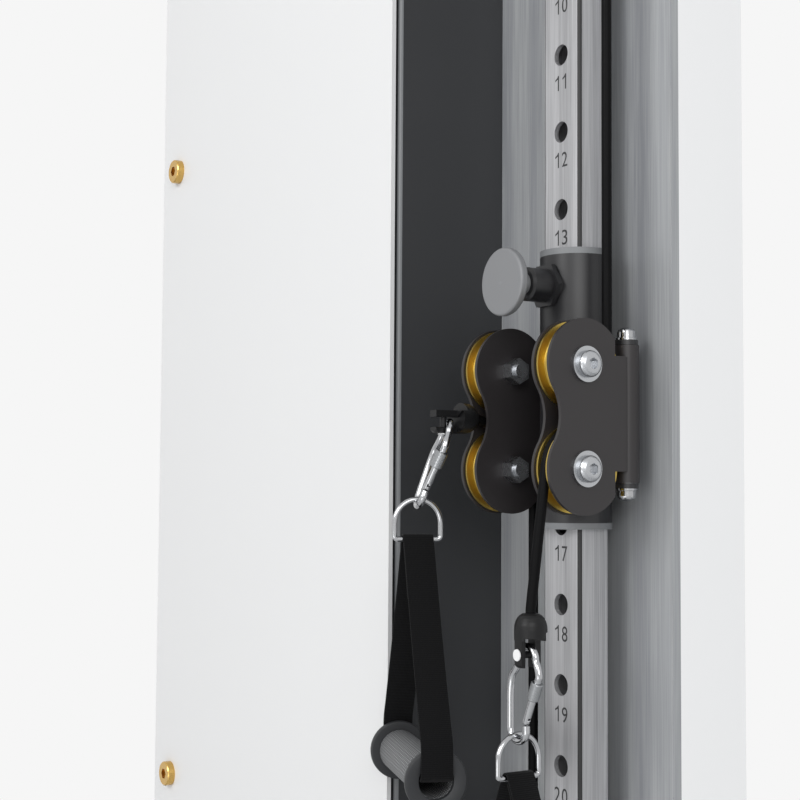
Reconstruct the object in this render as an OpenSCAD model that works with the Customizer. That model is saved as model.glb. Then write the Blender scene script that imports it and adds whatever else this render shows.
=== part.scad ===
// Wall-mounted training gate: one cable column with an index rail, a hinged pulley carriage and a weight stack.
// +X runs right along the wall, +Y into the wall and +Z up. The origin is the middle of the four wall bolts.

/* [Wall frame] */
// Height of the housing, the panel and the column
unit_h = 2200; // [2100:10:2400]
// Distance between the wall bolts across the wall
bolt_span_x = 600; // [560:5:610]
// How far the wall bolts lie beyond the ends of the unit
bolt_beyond = 22; // [18:1:40]
// Diameter of the wall bolt holes
bolt_hole_d = 11; // [8:0.5:14]
// Side of the square frame tubes
frame_tube = 40; // [30:1:45]
// Wall of the square frame tubes
frame_wall = 3; // [2:0.5:5]
// Thickness of the wall straps
strap_bar_t = 6; // [4:0.5:8]

/* [Housing] */
// Left side of the housing, from the middle of the wall bolts
housing_left = 345; // [335:1:360]
// Right side of the housing, where the column starts
housing_right = 130; // [120:1:135]
// Depth of the housing from the wall
housing_d = 197; // [190:1:210]
// Thickness of the housing sheet
sheet_t = 2; // [1.5:0.1:3]
// Outer radius of the folded front corners
fold_r = 4; // [3.2:0.1:6]
// Width of the folded front flanges
flange_w = 40; // [32:1:45]

/* [Front panel] */
// Thickness of the panel
panel_t = 4; // [3:0.5:6]
// Gap between housing and panel
panel_gap = 5; // [4:0.5:10]
// How far the panel passes the left side of the housing
panel_over_l = 17; // [5:1:25]
// How far the panel passes the right side of the housing
panel_over_r = 3; // [0:0.5:6]
// Width of the selector slot
selector_slot_w = 40; // [34:1:50]
// Distance of the standoffs from the left edge of the panel
standoff_inset = 42.5; // [36:0.5:50]
// Distance of the top standoff below the top of the panel
standoff_top = 77; // [60:1:120]
// Distance of the lowest standoff above the foot of the panel
standoff_bottom = 119; // [90:1:140]
// Diameter of the standoff caps
standoff_d = 26; // [20:0.5:30]
// Thickness of the standoff caps
standoff_cap_t = 8; // [5:0.5:12]

/* [Column and rail] */
// Width of the column face
column_w = 225; // [222:1:240]
// Distance of the column face from the wall
column_d = 85; // [75:1:90]
// Place of the rail from the middle of the wall bolts
rail_x = 280; // [275:1:284]
// Distance of the rail's middle from the wall
rail_y = 120; // [116:1:124]
// Width of the rail
rail_w = 46; // [42:0.5:47]
// Depth of the rail
rail_d = 30.5; // [27:0.5:31]
// Wall of the rail
rail_wall = 4; // [3:0.5:5]
// Corner radius of the rail
rail_r = 3; // [3:0.1:4]
// Diameter of the index holes
index_d = 17.2; // [16.6:0.1:18]
// Distance from one index hole to the next
index_pitch = 63.5; // [63:0.1:65]
// Number of index holes
index_count = 26; // [26:1:28]
// Height of the top index hole above the middle of the unit
index_top = 988.5; // [985:0.5:990]

/* [Carriage] */
// Index hole that holds the carriage, counted from the top
index_held = 14; // [13:1:14]
// Outer diameter of the sleeve
sleeve_d = 58; // [57.5:0.1:59]
// Inner diameter of the sleeve
sleeve_bore = 53.2; // [53:0.1:53.6]
// Length of the sleeve without its bushes
sleeve_l = 214; // [212:1:230]
// Distance of the plunger below the top of the sleeve
plunger_drop = 25; // [22:0.5:35]
// Thickness of the bush flanges
bush_flange = 5; // [3:0.5:8]
// Diameter of the plunger pin
plunger_pin_d = 16; // [15:0.1:16]
// Diameter of the plunger barrel
plunger_barrel_d = 27; // [25:0.5:30]
// Diameter of the plunger knob
plunger_knob_d = 54; // [45:1:60]
// Diameter of the hinge pins
hinge_pin_d = 10; // [8:0.5:11]
// Thickness of the hinge lugs
lug_t = 4; // [3:0.5:5]

/* [Pulley blocks] */
// Distance of each block's middle from the middle of the rail
block_x = 47; // [46:0.5:49]
// Distance of the hinge axis behind the middle of the rail
hinge_y = 13; // [12:0.5:15]
// Distance of the pulley axles in front of the middle of the rail
pulley_y = 37; // [36.5:0.5:38]
// Distance between the two pulleys of a block
pulley_span = 80; // [78:1:84]
// Distance of the lower pulley below the plunger
pulley_drop = 147; // [145:1:150]
// Outer radius of the small pulleys
rim_r = 34; // [34:0.1:34.5]
// Radius of the cable's middle on the small pulleys
pitch_r = 30; // [29.5:0.1:30]
// Width of a pulley
pulley_w = 15; // [14:0.1:15.4]
// Thickness of the block's side plates
side_plate_t = 3; // [2.5:0.1:4]
// Radius of the side plates round each pulley
side_plate_r = 35.5; // [35:0.1:36]
// Inner width of a block
block_gap = 16; // [15.8:0.1:17]

/* [Cable ends] */
// Diameter of the cable
cable_d = 8; // [6:0.5:8]
// Diameter of the cable stopper
stopper_d = 25; // [22:0.5:27]
// Length of the cable stopper
stopper_l = 40; // [38:0.5:44]
// Distance of the cross pin from the stopper's cable end
stopper_pin_at = 30.5; // [28:0.5:32]
// Wire diameter of the carabiner
hook_wire_d = 5.6; // [5:0.1:6]
// Diameter of the carabiner's screw sleeve
screw_sleeve_d = 9.4; // [8.5:0.1:10]
// Wire diameter of the D-ring
ring_wire_d = 4.2; // [3.5:0.1:5]
// Outer width of the D-ring
ring_w = 42; // [38:0.5:44]
// Outer height of the D-ring
ring_h = 36; // [34:0.5:40]
// Width of the webbing
webbing_w = 25; // [20:0.5:25]
// Thickness of the webbing
webbing_t = 2; // [1.5:0.1:2.5]
// Distance of the grip's axis below the carabiner
grip_drop = 205; // [190:1:240]
// Length of the grip over its end discs
grip_l = 145; // [120:1:160]
// Diameter of the grip's end discs
grip_disc_d = 48; // [44:0.5:52]
// Diameter of the grip's tube
grip_tube_d = 34; // [32:0.5:38]

/* [Weight stack] */
// Place of the stack's middle, left of the middle of the wall bolts
stack_left = 107; // [104:1:110]
// Width of a weight plate
weight_w = 240; // [225:1:250]
// Depth of a weight plate
weight_d = 105; // [90:1:108]
// Thickness of a weight plate
weight_t = 29.7; // [25:0.1:32]
// Number of weight plates under the head plate
weight_count = 14; // [8:1:15]
// Thickness of the head plate
head_t = 40; // [34:1:50]
// Diameter of the guide rods
rod_d = 16; // [12:0.5:18]
// Distance between the guide rods
rod_span = 170; // [160:1:176]
// Diameter of the selector stem
stem_d = 20; // [18:0.5:22]
// Diameter of the selector pin
selector_d = 10; // [8:0.1:10]
// Place of the return strand, left of the middle of the wall bolts
return_left = 252; // [250:1:256]

/* [Hidden] */
$fn = 48;

// Clearances
gap = 0.3;
slide_gap = 0.2;
fit = 0.05;
run = 0.06;
groove_gap = 0.3;
stub = 0.3;
cable_joint = stub + 0.02;

// Signs of the two blocks: 1 is the right one
RIGHT = 1;
LEFT = -1;

// Wall frame
half_h = unit_h / 2;
bolt_z = half_h + bolt_beyond;
strap_bar_h = 90;
strap_bar_z = bolt_z + 23;
tube_back = -strap_bar_t;
tube_front = -strap_bar_t - frame_tube;
cross_z = half_h - 60;
upright_z = half_h - 10;

// Housing, panel and column
hx0 = -housing_left;
hx1 = housing_right;
hy0 = -housing_d;
back_gap = strap_bar_t + 2;
shell_z = half_h - sheet_t;
panel_back = hy0 - panel_gap;
panel_front = panel_back - panel_t;
panel_x0 = hx0 - panel_over_l;
panel_x1 = hx1 + panel_over_r;
standoff_x = panel_x0 + standoff_inset;
standoff_stud_r = 7;
standoff_pitch = (unit_h - standoff_top - standoff_bottom) / 3;
column_x0 = hx1 + gap;
column_x1 = hx1 + column_w;

// Rail and end channels
ry = -rail_y;
cable_r = cable_d / 2;
cable_y = ry - 7;
channel_wall = 3;
channel_in = 14;
channel_y0 = cable_y - channel_in - channel_wall;
channel_y1 = cable_y + channel_in + channel_wall;
channel_z0 = half_h - 95;
channel_z1 = half_h - 5;
channel_x0 = hx0 + 25;
channel_x1 = column_x1 - 10;
rail_plate_t = 6;
rail_plate_w = 74;
frame_arm_w = 34;
rod_plate_z = half_h - 160;
rod_plate_t = 6;

// Guide pulleys
guide_z = half_h - 50;
right_cable_x = rail_x + block_x;
left_cable_x = rail_x - block_x;
stack_x = -stack_left;
return_x = -return_left;
return_r = (stack_x - pitch_r - return_x) / 2;
top_outer_x = right_cable_x - pitch_r;
top_inner_x = stack_x + 2 * pitch_r;
top_return_x = return_x + return_r;
return_z = guide_z + pitch_r - return_r;
base_outer_x = left_cable_x - pitch_r;
base_inner_x = return_x + pitch_r;
guide_axle_r = 6;
groove_r = cable_r + groove_gap;

// Weight stack
weight_pitch = weight_t + gap;
buffer_h = 20;
buffer_r = 18;
stack_z = -channel_z0 + buffer_h;
head_z = stack_z + weight_count * weight_pitch;
hanger_base_t = 6;
hanger_axle_z = head_z + head_t + 85;
hanger_in = pulley_w / 2 + 0.8;
hanger_wall = 4;
selector_z = head_z + head_t / 2;
weight_y0 = cable_y - weight_d / 2;
selector_knob_r = 12;
selector_knob_t = 8;
slot_z0 = stack_z + weight_t / 2 - 20;
slot_z1 = selector_z + 22;

// Carriage
plunger_z = index_top - (index_held - 1) * index_pitch;
sleeve_z1 = plunger_z + plunger_drop;
sleeve_z0 = sleeve_z1 - sleeve_l;
sleeve_r = sleeve_d / 2;
lower_z = plunger_z - pulley_drop;
upper_z = lower_z + pulley_span;
waist_z = (lower_z + upper_z) / 2;
block_half = block_gap / 2;
yoke_z0 = waist_z - 54.5 + lug_t;
yoke_z1 = waist_z + 62 - lug_t;
barrel_r = 10;
rib_x0 = sleeve_r - 2.5;
rib_x1 = block_x - barrel_r - 0.4;
hinge_r = hinge_pin_d / 2;
liner_l = 16;
cap_nut_r = 8.3;
cap_nut_h = 10;
pin_nose_y = ry - rail_d / 2 + 9;
boss_y = ry - sleeve_r;
hex_t = 4;
hex_af = 33;
barrel_l = 23;
barrel_y = boss_y - barrel_l;
chamber_r = 9.6;
chamber_y0 = barrel_y + 2;
chamber_y1 = boss_y - hex_t;
spring_seat = chamber_y1 - 2;
stem_r = 5;
knob_back = ry - 62;
knob_front = ry - 75;
plunger_r = plunger_pin_d / 2;

// Blocks
axle_y = ry - pulley_y;
shank_r = 6;
shoulder_r = 8;
plate_back = ry - 8;
tab_back = ry + 3;
tab_z0 = yoke_z0 + 9;
tab_z1 = yoke_z1 - 10;
waist_in = 24;
waist_r = ((waist_in * waist_in + pow(pulley_span / 2, 2)) - side_plate_r * side_plate_r)
    / (2 * (side_plate_r - waist_in));
washer_r = 13.9;
head_r = 10.4;
nut_af = 18.5;

// Cable stoppers and carabiners
right_mouth = [right_cable_x, ry - 81, waist_z - 148];
left_mouth = [left_cable_x, ry - 67, waist_z + 1];
fork_off = 3;
fork_slot = hook_wire_d + 1.6;
fork_half = 4.4;
pin_head_r = 4.3;
fork_back = 6;
fork_from = 20;
cross_pin_r = 2.6;
wire_r = hook_wire_d / 2;
nose_r = 10;
spine_u = -21;
hook_l = 77;
hook_end_r = 10;
hook_end_u = spine_u + hook_end_r;
hook_end_w = nose_r + 2 * wire_r + hook_end_r - hook_l;
hinge_u = -1.5;
hinge_w = -46;
nose_u = 13.5;
nose_w = -13;
gate_angle = atan2(nose_u - hinge_u, nose_w - hinge_w);
gate_len = norm([nose_u - hinge_u, nose_w - hinge_w]);
gate_tongue = 2;
left_yaw = -20.7;
left_lean = 19;
wire_at = cross_pin_r + 0.7 + wire_r;
right_top = right_mouth + [0, -fork_off, -stopper_pin_at + wire_at];
left_top = left_mouth + [0, -stopper_pin_at + wire_at, -fork_off];
left_u = [cos(left_yaw), sin(left_yaw), 0];
left_down = sin(left_lean) * [sin(left_yaw), -cos(left_yaw), 0] - [0, 0, cos(left_lean)];
hook_drop = hook_l - 2 * wire_r;
right_hang = right_top + [hook_end_u, 0, -hook_drop];
left_hang = left_top + hook_end_u * left_u + hook_drop * left_down;

// Handles
ring_r = ring_wire_d / 2;
ring_top = wire_r + ring_r + gap;
ring_arc_r = ring_w / 2 - ring_r;
ring_bar = ring_top + 2 * ring_r - ring_h;
ring_corner = 3;
disc_t = 6;
disc_r = grip_disc_d / 2;
grip_bore_r = webbing_w / 2 + 0.9;
strap_face = grip_l / 2 + gap + webbing_t / 2;
strap_turn = 6;
strap_wrap = ring_r + gap + webbing_t / 2;

// Drawing helpers

// A box from one corner to the other
module box(a, b) {
    translate(a) cube(b - a);
}

// A cylinder that starts at p and runs along +X
module along_x(p, r, h) {
    translate(p) rotate([0, 90, 0]) cylinder(r = r, h = h);
}

// A cylinder that starts at p and runs along +Y
module along_y(p, r, h) {
    translate(p) rotate([-90, 0, 0]) cylinder(r = r, h = h);
}

// A cylinder that starts at p and runs along +Z
module along_z(p, r, h) {
    translate(p) cylinder(r = r, h = h);
}

// A centred rectangle with round corners
module round_rect(w, d, r) {
    square([w - 2 * r, d], center = true);
    square([w, d - 2 * r], center = true);
    for (x = [-1, 1], y = [-1, 1])
        translate([x * (w / 2 - r), y * (d / 2 - r)]) circle(r = r);
}

// A hexagon with the given width across its flats
module hexagon(af) {
    circle(d = af / cos(30), $fn = 6);
}

// Both ends of the unit: the children and their mirror image
module both_ends() {
    for (m = [0, 1]) mirror([0, 0, m]) children();
}

// Points of an arc in the XZ plane
function arc_xz(c, r, a0, a1, n) =
    [for (i = [0:n]) let(a = a0 + (a1 - a0) * i / n) c + r * [cos(a), 0, sin(a)]];

// Points of an arc in the YZ plane, where angle 0 points at the wall
function arc_yz(c, r, a0, a1, n) =
    [for (i = [0:n]) let(a = a0 + (a1 - a0) * i / n) c + r * [0, cos(a), sin(a)]];

// Points of a cubic curve between two points with two handles
function curve(a, b, c, d, n) =
    [for (i = [0:n]) let(t = i / n, s = 1 - t)
        s * s * s * a + 3 * s * s * t * b + 3 * s * t * t * c + t * t * t * d];

function toward(a, b) = (b - a) / norm(b - a);

// Direction of a path at point i
function path_dir(p, i, closed) =
    let(n = len(p))
    let(before = i > 0 ? p[i - 1] : closed ? p[n - 1] : undef)
    let(after = i < n - 1 ? p[i + 1] : closed ? p[0] : undef)
    let(d = is_undef(before) ? toward(p[i], after) : is_undef(after) ? toward(before, p[i])
        : toward(before, p[i]) + toward(p[i], after))
    d / norm(d);

// A round tube along the points of a flat path; side is the normal of the path's plane
module tube(p, r, side, sides = 10, closed = false) {
    n = len(p);
    rings = [for (i = [0:n - 1]) let(t = path_dir(p, i, closed), across = cross(side, t))
        for (k = [0:sides - 1]) let(a = 360 * k / sides)
            p[i] + r * (cos(a) * across + sin(a) * side)];
    spans = closed ? n - 1 : n - 2;
    walls = [for (i = [0:spans], k = [0:sides - 1])
        let(a = i * sides, b = ((i + 1) % n) * sides, j = (k + 1) % sides)
            each [[a + k, b + k, b + j], [a + k, b + j, a + j]]];
    start = [for (k = [0:sides - 1]) k];
    end = [for (k = [sides - 1:-1:0]) (n - 1) * sides + k];
    polyhedron(rings, closed ? walls : concat(walls, [start, end]));
}

// Structure

// One upright tube of the frame
module upright(x) {
    translate([x, (tube_back + tube_front) / 2, -upright_z]) linear_extrude(2 * upright_z)
        difference() {
            square(frame_tube, center = true);
            square(frame_tube - 2 * frame_wall, center = true);
        }
}

// Uprights, cross members and wall straps, welded
module back_frame() color("#3a3b3d") {
    inner = bolt_span_x / 2 - frame_tube / 2;
    for (s = [-1, 1]) upright(s * bolt_span_x / 2);
    for (z = [-cross_z, 0, cross_z]) difference() {
        union() {
            box([-inner, tube_front, z - frame_tube / 2], [inner, tube_back, z + frame_tube / 2]);
            box([hx0 + sheet_t, tube_front, z - frame_tube / 2],
                [-bolt_span_x / 2 - frame_tube / 2, tube_back, z + frame_tube / 2]);
            box([bolt_span_x / 2 + frame_tube / 2, tube_front, z - frame_tube / 2],
                [column_x1 - sheet_t, tube_back, z + frame_tube / 2]);
        }
        box([hx0, tube_front + frame_wall, z - frame_tube / 2 + frame_wall],
            [-bolt_span_x / 2 - frame_tube / 2, tube_back - frame_wall, z + frame_tube / 2 - frame_wall]);
        box([-inner, tube_front + frame_wall, z - frame_tube / 2 + frame_wall],
            [inner, tube_back - frame_wall, z + frame_tube / 2 - frame_wall]);
        box([bolt_span_x / 2 + frame_tube / 2, tube_front + frame_wall, z - frame_tube / 2 + frame_wall],
            [column_x1, tube_back - frame_wall, z + frame_tube / 2 - frame_wall]);
    }
    both_ends() difference() {
        box([hx0, -strap_bar_t, strap_bar_z - strap_bar_h], [column_x1, 0, strap_bar_z]);
        for (s = [-1, 1]) along_y([s * bolt_span_x / 2, -strap_bar_t - 1, bolt_z], bolt_hole_d / 2, strap_bar_t + 2);
    }
}

// Outline of the housing seen from above, open to the wall and at the front
module housing_outline() {
    w = hx1 - hx0;
    d = housing_d - back_gap;
    translate([hx0 + w / 2, hy0 + d / 2]) difference() {
        round_rect(w, d, fold_r);
        round_rect(w - 2 * sheet_t, d - 2 * sheet_t, fold_r - sheet_t);
        translate([-w / 2 + flange_w, -d]) square([w - 2 * flange_w, d]);
        translate([-w / 2 - 1, d / 2 - fold_r]) square([w + 2, fold_r + 1]);
    }
}

// Folded sheet housing of the stack, with windows for the end channels
module housing_shell() color("#323335") {
    difference() {
        translate([0, 0, -shell_z]) linear_extrude(2 * shell_z) housing_outline();
        box([hx1 - sheet_t - 1, tube_front, -half_h], [hx1 + 1, 0, half_h]);
        both_ends() box([hx1 - sheet_t - 1, channel_y0 - gap, channel_z0 - gap],
            [hx1 + 1, channel_y1 + gap, channel_z1 + gap]);
    }
}

// Lids at both ends of the housing and the column
module end_caps() color("#323335") {
    w = hx1 - hx0;
    d = housing_d - back_gap;
    both_ends() {
        translate([hx0 + w / 2, hy0 + d / 2, shell_z]) linear_extrude(sheet_t) round_rect(w, d, fold_r);
        box([column_x0, -column_d, shell_z], [column_x1, -back_gap, half_h]);
    }
}

// Front panel with the selector slot and the standoff holes
module front_panel() color("#ebebeb") {
    difference() {
        box([panel_x0, panel_front, -half_h], [panel_x1, panel_back, half_h]);
        box([stack_x - selector_slot_w / 2, panel_front - 1, slot_z0 + selector_slot_w / 2],
            [stack_x + selector_slot_w / 2, panel_back + 1, slot_z1 - selector_slot_w / 2]);
        for (z = [slot_z0 + selector_slot_w / 2, slot_z1 - selector_slot_w / 2])
            along_y([stack_x, panel_front - 1, z], selector_slot_w / 2, panel_t + 2);
        for (i = [0:3]) along_y([standoff_x, panel_front - 1, half_h - standoff_top - i * standoff_pitch],
            standoff_stud_r + gap, panel_t + 2);
    }
}

// Four capped standoffs on the left, four blind spacers behind the right edge
module panel_standoffs() color("#b08d57") {
    for (i = [0:3]) {
        z = half_h - standoff_top - i * standoff_pitch;
        difference() {
            union() {
                along_y([standoff_x, panel_back, z], standoff_d / 2 - 2, panel_gap);
                along_y([standoff_x, panel_front, z], standoff_stud_r, panel_t);
                translate([standoff_x, panel_front, z]) rotate([90, 0, 0]) rotate_extrude()
                    polygon([[0, 0], [standoff_d / 2, 0], [standoff_d / 2, standoff_cap_t - 1],
                        [standoff_d / 2 - 1, standoff_cap_t], [0, standoff_cap_t]]);
            }
            translate([standoff_x, panel_front - standoff_cap_t + 5, z]) rotate([90, 0, 0])
                linear_extrude(6) hexagon(10);
        }
        along_y([hx1 - flange_w / 2, panel_back, z], 9, panel_gap);
    }
}

// Folded stainless face of the column with the slots for the rail brackets
module column_cladding() color("#9a9c9e") {
    difference() {
        box([column_x0, -column_d, -shell_z], [column_x1, -back_gap, shell_z]);
        box([column_x0 - 1, -column_d + sheet_t, -half_h], [column_x1 - sheet_t, 0, half_h]);
        both_ends() box([rail_x - rail_plate_w / 2 - gap, -column_d - 1, channel_z0 - gap],
            [rail_x + rail_plate_w / 2 + gap, -column_d + sheet_t + 1, channel_z0 + rail_plate_t + gap]);
    }
}

// Index rail: one tube with a row of holes in its front wall
module rail() color("#c8c9ca") {
    difference() {
        translate([rail_x, ry, -channel_z0]) linear_extrude(2 * channel_z0) difference() {
            round_rect(rail_w, rail_d, rail_r);
            square([rail_w - 2 * rail_wall, rail_d - 2 * rail_wall], center = true);
        }
        for (i = [0:index_count - 1]) along_y([rail_x, ry - rail_d / 2 - 1, index_top - i * index_pitch],
            index_d / 2, rail_wall + 2);
    }
}

// Bore for a guide pulley axle through both walls of a channel
module axle_bore(x, z) {
    along_y([x, channel_y0 - 1, z], guide_axle_r + fit, channel_y1 - channel_y0 + 2);
}

// Walls, web and brackets that both channels share
module channel_body() {
    difference() {
        box([channel_x0, channel_y0, channel_z0], [channel_x1, channel_y1, channel_z1]);
        box([channel_x0 + channel_wall, channel_y0 + channel_wall, channel_z0 - 1],
            [channel_x1 - channel_wall, channel_y1 - channel_wall, channel_z1 - channel_wall]);
    }
    difference() {
        box([rail_x - rail_plate_w / 2, channel_y0, channel_z0],
            [rail_x + rail_plate_w / 2, tube_front, channel_z0 + rail_plate_t]);
        for (x = [right_cable_x, left_cable_x])
            along_z([x, cable_y, channel_z0 - 1], cable_r + 3, rail_plate_t + 2);
    }
    box([-bolt_span_x / 2 - frame_arm_w / 2, channel_y1 - channel_wall, channel_z0],
        [-bolt_span_x / 2 + frame_arm_w / 2, tube_front, channel_z0 + rail_plate_t]);
}

// Holes of a cross plate that the guide rods pass through
module rod_holes(z) {
    for (s = [-1, 1]) along_z([stack_x + s * rod_span / 2, cable_y, z - 1], rod_d / 2 + fit, rod_plate_t + 2);
}

// Head and foot channels that carry the rail, the guide rods and the guide pulleys
module end_channels() color("#2b2c2e") {
    x0 = stack_x - rod_span / 2 - 48;
    x1 = stack_x + rod_span / 2 + 32;
    difference() {
        union() {
            channel_body();
            for (y = [channel_y0, channel_y1 - channel_wall])
                box([x0, y, rod_plate_z], [x1, y + channel_wall, channel_z0]);
            box([x0, channel_y0, rod_plate_z], [x1, channel_y1, rod_plate_z + rod_plate_t]);
        }
        rod_holes(rod_plate_z);
        for (s = [-1, 1]) along_z([stack_x + s * pitch_r, cable_y, rod_plate_z - 1], cable_r + 3, rod_plate_t + 2);
        axle_bore(top_outer_x, guide_z);
        axle_bore(top_inner_x, guide_z);
        axle_bore(top_return_x, return_z);
    }
    difference() {
        union() {
            mirror([0, 0, 1]) channel_body();
            box([x0 + 12, channel_y0, -channel_z0 - rod_plate_t], [x1, channel_y1, -channel_z0]);
        }
        rod_holes(-channel_z0 - rod_plate_t);
        axle_bore(base_outer_x, -guide_z);
        axle_bore(base_inner_x, -guide_z);
    }
}

// One guide pulley axle: head, shaft, two spacers and nut
module guide_axle(x, z) {
    spacer = channel_in - pulley_w / 2 - gap;
    along_y([x, channel_y0 - 6, z], 10, 6);
    along_y([x, channel_y0, z], guide_axle_r, channel_y1 - channel_y0 + 4);
    along_y([x, channel_y0 + channel_wall, z], 9, spacer);
    along_y([x, channel_y1 - channel_wall - spacer, z], 9, spacer);
    translate([x, channel_y1 + 8, z]) rotate([90, 0, 0]) linear_extrude(8) hexagon(nut_af);
}

module guide_axles() color("#c0c2c4") {
    guide_axle(top_outer_x, guide_z);
    guide_axle(top_inner_x, guide_z);
    guide_axle(top_return_x, return_z);
    guide_axle(base_outer_x, -guide_z);
    guide_axle(base_inner_x, -guide_z);
}

// Guide rods with the buffers that the stack rests on and the collars at the top
module guide_rods() color("#c8cacc") {
    for (s = [-1, 1]) translate([stack_x + s * rod_span / 2, cable_y, 0]) {
        along_z([0, 0, -channel_z0 - rod_plate_t - 3], rod_d / 2, channel_z0 + rod_plate_z + 2 * rod_plate_t + 6);
        along_z([0, 0, -channel_z0], buffer_r, buffer_h);
        along_z([0, 0, rod_plate_z - 12], rod_d / 2 + 6, 12);
    }
}

// A pulley about +Z: hub, dished web and a round groove for the cable
module pulley(pitch, rim, bore) {
    h = pulley_w / 2;
    web = h - 3.5;
    hub = bore + 5;
    inner = pitch - groove_r - 3.5;
    groove = [for (a = [-90:-22.5:-270]) [pitch + groove_r * cos(a), groove_r * sin(a)]];
    rotate_extrude() polygon(concat(
        [[bore, -h], [hub, -h], [hub + 1.5, -web], [inner - 1.5, -web], [inner, -h], [rim - 0.5, -h],
            [rim, -h + 0.5], [rim, -groove_r - 0.6]],
        groove,
        [[rim, groove_r + 0.6], [rim, h - 0.5], [rim - 0.5, h], [inner, h], [inner - 1.5, web],
            [hub + 1.5, web], [hub, h], [bore, h]]));
}

// A guide pulley in the channels, turning about Y
module guide_pulley(x, z, pitch) color("#c9a24a") {
    translate([x, cable_y, z]) rotate([90, 0, 0])
        pulley(pitch, pitch + rim_r - pitch_r, guide_axle_r + run);
}

module top_pulley_outer() { guide_pulley(top_outer_x, guide_z, pitch_r); }
module top_pulley_inner() { guide_pulley(top_inner_x, guide_z, pitch_r); }
module top_pulley_return() { guide_pulley(top_return_x, return_z, return_r); }
module base_pulley_outer() { guide_pulley(base_outer_x, -guide_z, pitch_r); }
module base_pulley_inner() { guide_pulley(base_inner_x, -guide_z, pitch_r); }

// Weight stack

// One plate of the stack with its rod holes, its stem hole and the hole for the selector pin
module weight(z, t, stem_hole) {
    difference() {
        translate([stack_x, cable_y, z]) linear_extrude(t) round_rect(weight_w, weight_d, 6);
        for (s = [-1, 1]) along_z([stack_x + s * rod_span / 2, cable_y, z - 1], rod_d / 2 + 1, t + 2);
        along_z([stack_x, cable_y, z - 1], stem_hole, t + 2);
        along_y([stack_x, weight_y0 - 1, z + t / 2], selector_d / 2 + run, weight_d / 2 + 1);
    }
}

module weight_plates() color("#2e2f31") {
    for (i = [0:weight_count - 1]) weight(stack_z + i * weight_pitch, weight_t, stem_d / 2 + 0.8);
}

module head_plate() color("#2e2f31") { weight(head_z, head_t, stem_d / 2 + fit); }

// Bracket on the head plate with the axle of the stack pulley
module stack_hanger() color("#8c8e90") {
    top = head_z + head_t;
    for (s = [-1, 1]) translate([stack_x, cable_y + s * (hanger_in + hanger_wall / 2), 0]) {
        box([-18, -hanger_wall / 2, top], [18, hanger_wall / 2, hanger_axle_z]);
        along_y([0, -hanger_wall / 2, hanger_axle_z], 18, hanger_wall);
    }
    box([stack_x - 30, cable_y - 26, top], [stack_x + 30, cable_y + 26, top + hanger_base_t]);
    along_y([stack_x, cable_y - hanger_in - hanger_wall - 5, hanger_axle_z], guide_axle_r,
        2 * (hanger_in + hanger_wall + 5));
    for (s = [-1, 1]) along_y([stack_x, cable_y + s * (hanger_in + hanger_wall + 2.5) - 2.5, hanger_axle_z], 10, 5);
}

// Stem below the head plate, cross-drilled for the selector pin at each plate
module selector_stem() color("#c8cacc") {
    difference() {
        along_z([stack_x, cable_y, stack_z + 5], stem_d / 2, head_z + head_t - stack_z - 5);
        for (i = [0:weight_count - 1])
            along_y([stack_x, cable_y - stem_d, stack_z + i * weight_pitch + weight_t / 2],
                selector_d / 2 + run, 2 * stem_d);
        along_y([stack_x, cable_y - stem_d, selector_z], selector_d / 2 + run, 2 * stem_d);
    }
}

module stack_pulley() color("#c9a24a") {
    translate([stack_x, cable_y, hanger_axle_z]) rotate([90, 0, 0]) pulley(pitch_r, rim_r, guide_axle_r + run);
}

// Selector pin with its knob, in the head plate
module selector_pin() color("#d8d9da") {
    translate([stack_x, weight_y0 - gap, selector_z]) {
        along_y([0, 0, 0], selector_d / 2, weight_d / 2 - 1);
        rotate([90, 0, 0]) rotate_extrude() polygon([[0, 0], [selector_knob_r - 3, 0], [selector_knob_r, 3],
            [selector_knob_r, selector_knob_t - 2], [selector_knob_r - 2, selector_knob_t], [0, selector_knob_t]]);
    }
}

// Carriage

// A hinge lug from the sleeve to the hinge pin, lying flat at height z
module lug(s, z) {
    reach = norm([block_x, hinge_y]);
    translate([rail_x, ry, z]) linear_extrude(lug_t) difference() {
        union() {
            rotate(atan2(hinge_y, s * block_x)) translate([0, -9]) square([reach, 18]);
            translate([s * block_x, hinge_y]) circle(r = 9);
        }
        circle(r = sleeve_r - 1);
        translate([s * block_x, hinge_y]) circle(r = hinge_r + fit);
    }
}

// Sleeve tube with the plunger boss, the hinge lugs and the webs between them, welded
module carriage_sleeve() color("#1d1d1f") {
    difference() {
        union() {
            along_z([rail_x, ry, sleeve_z0], sleeve_r, sleeve_l);
            along_y([rail_x, boss_y, plunger_z], 15, sleeve_r - 2);
        }
        along_z([rail_x, ry, sleeve_z0 - 1], sleeve_bore / 2, sleeve_l + 2);
        along_y([rail_x, boss_y - 1, plunger_z], plunger_r + run, sleeve_r);
    }
    for (s = [RIGHT, LEFT]) {
        lug(s, yoke_z0 - lug_t);
        lug(s, yoke_z1);
        translate([rail_x + s * (rib_x0 + rib_x1) / 2, ry + hinge_y - 1, yoke_z0])
            linear_extrude(yoke_z1 - yoke_z0) square([rib_x1 - rib_x0, 6], center = true);
    }
}

// One guide bush: a flange on the sleeve's end and a liner inside it
module bush() {
    difference() {
        union() {
            cylinder(r = sleeve_r, h = bush_flange);
            translate([0, 0, -liner_l]) cylinder(r = sleeve_bore / 2 - fit, h = liner_l);
        }
        translate([0, 0, -liner_l - 1]) linear_extrude(bush_flange + liner_l + 2)
            round_rect(rail_w + 2 * slide_gap, rail_d + 2 * slide_gap, rail_r);
    }
}

module sleeve_bushes() color("#a9abad") {
    translate([rail_x, ry, sleeve_z1]) bush();
    translate([rail_x, ry, sleeve_z0]) mirror([0, 0, 1]) bush();
}

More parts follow.
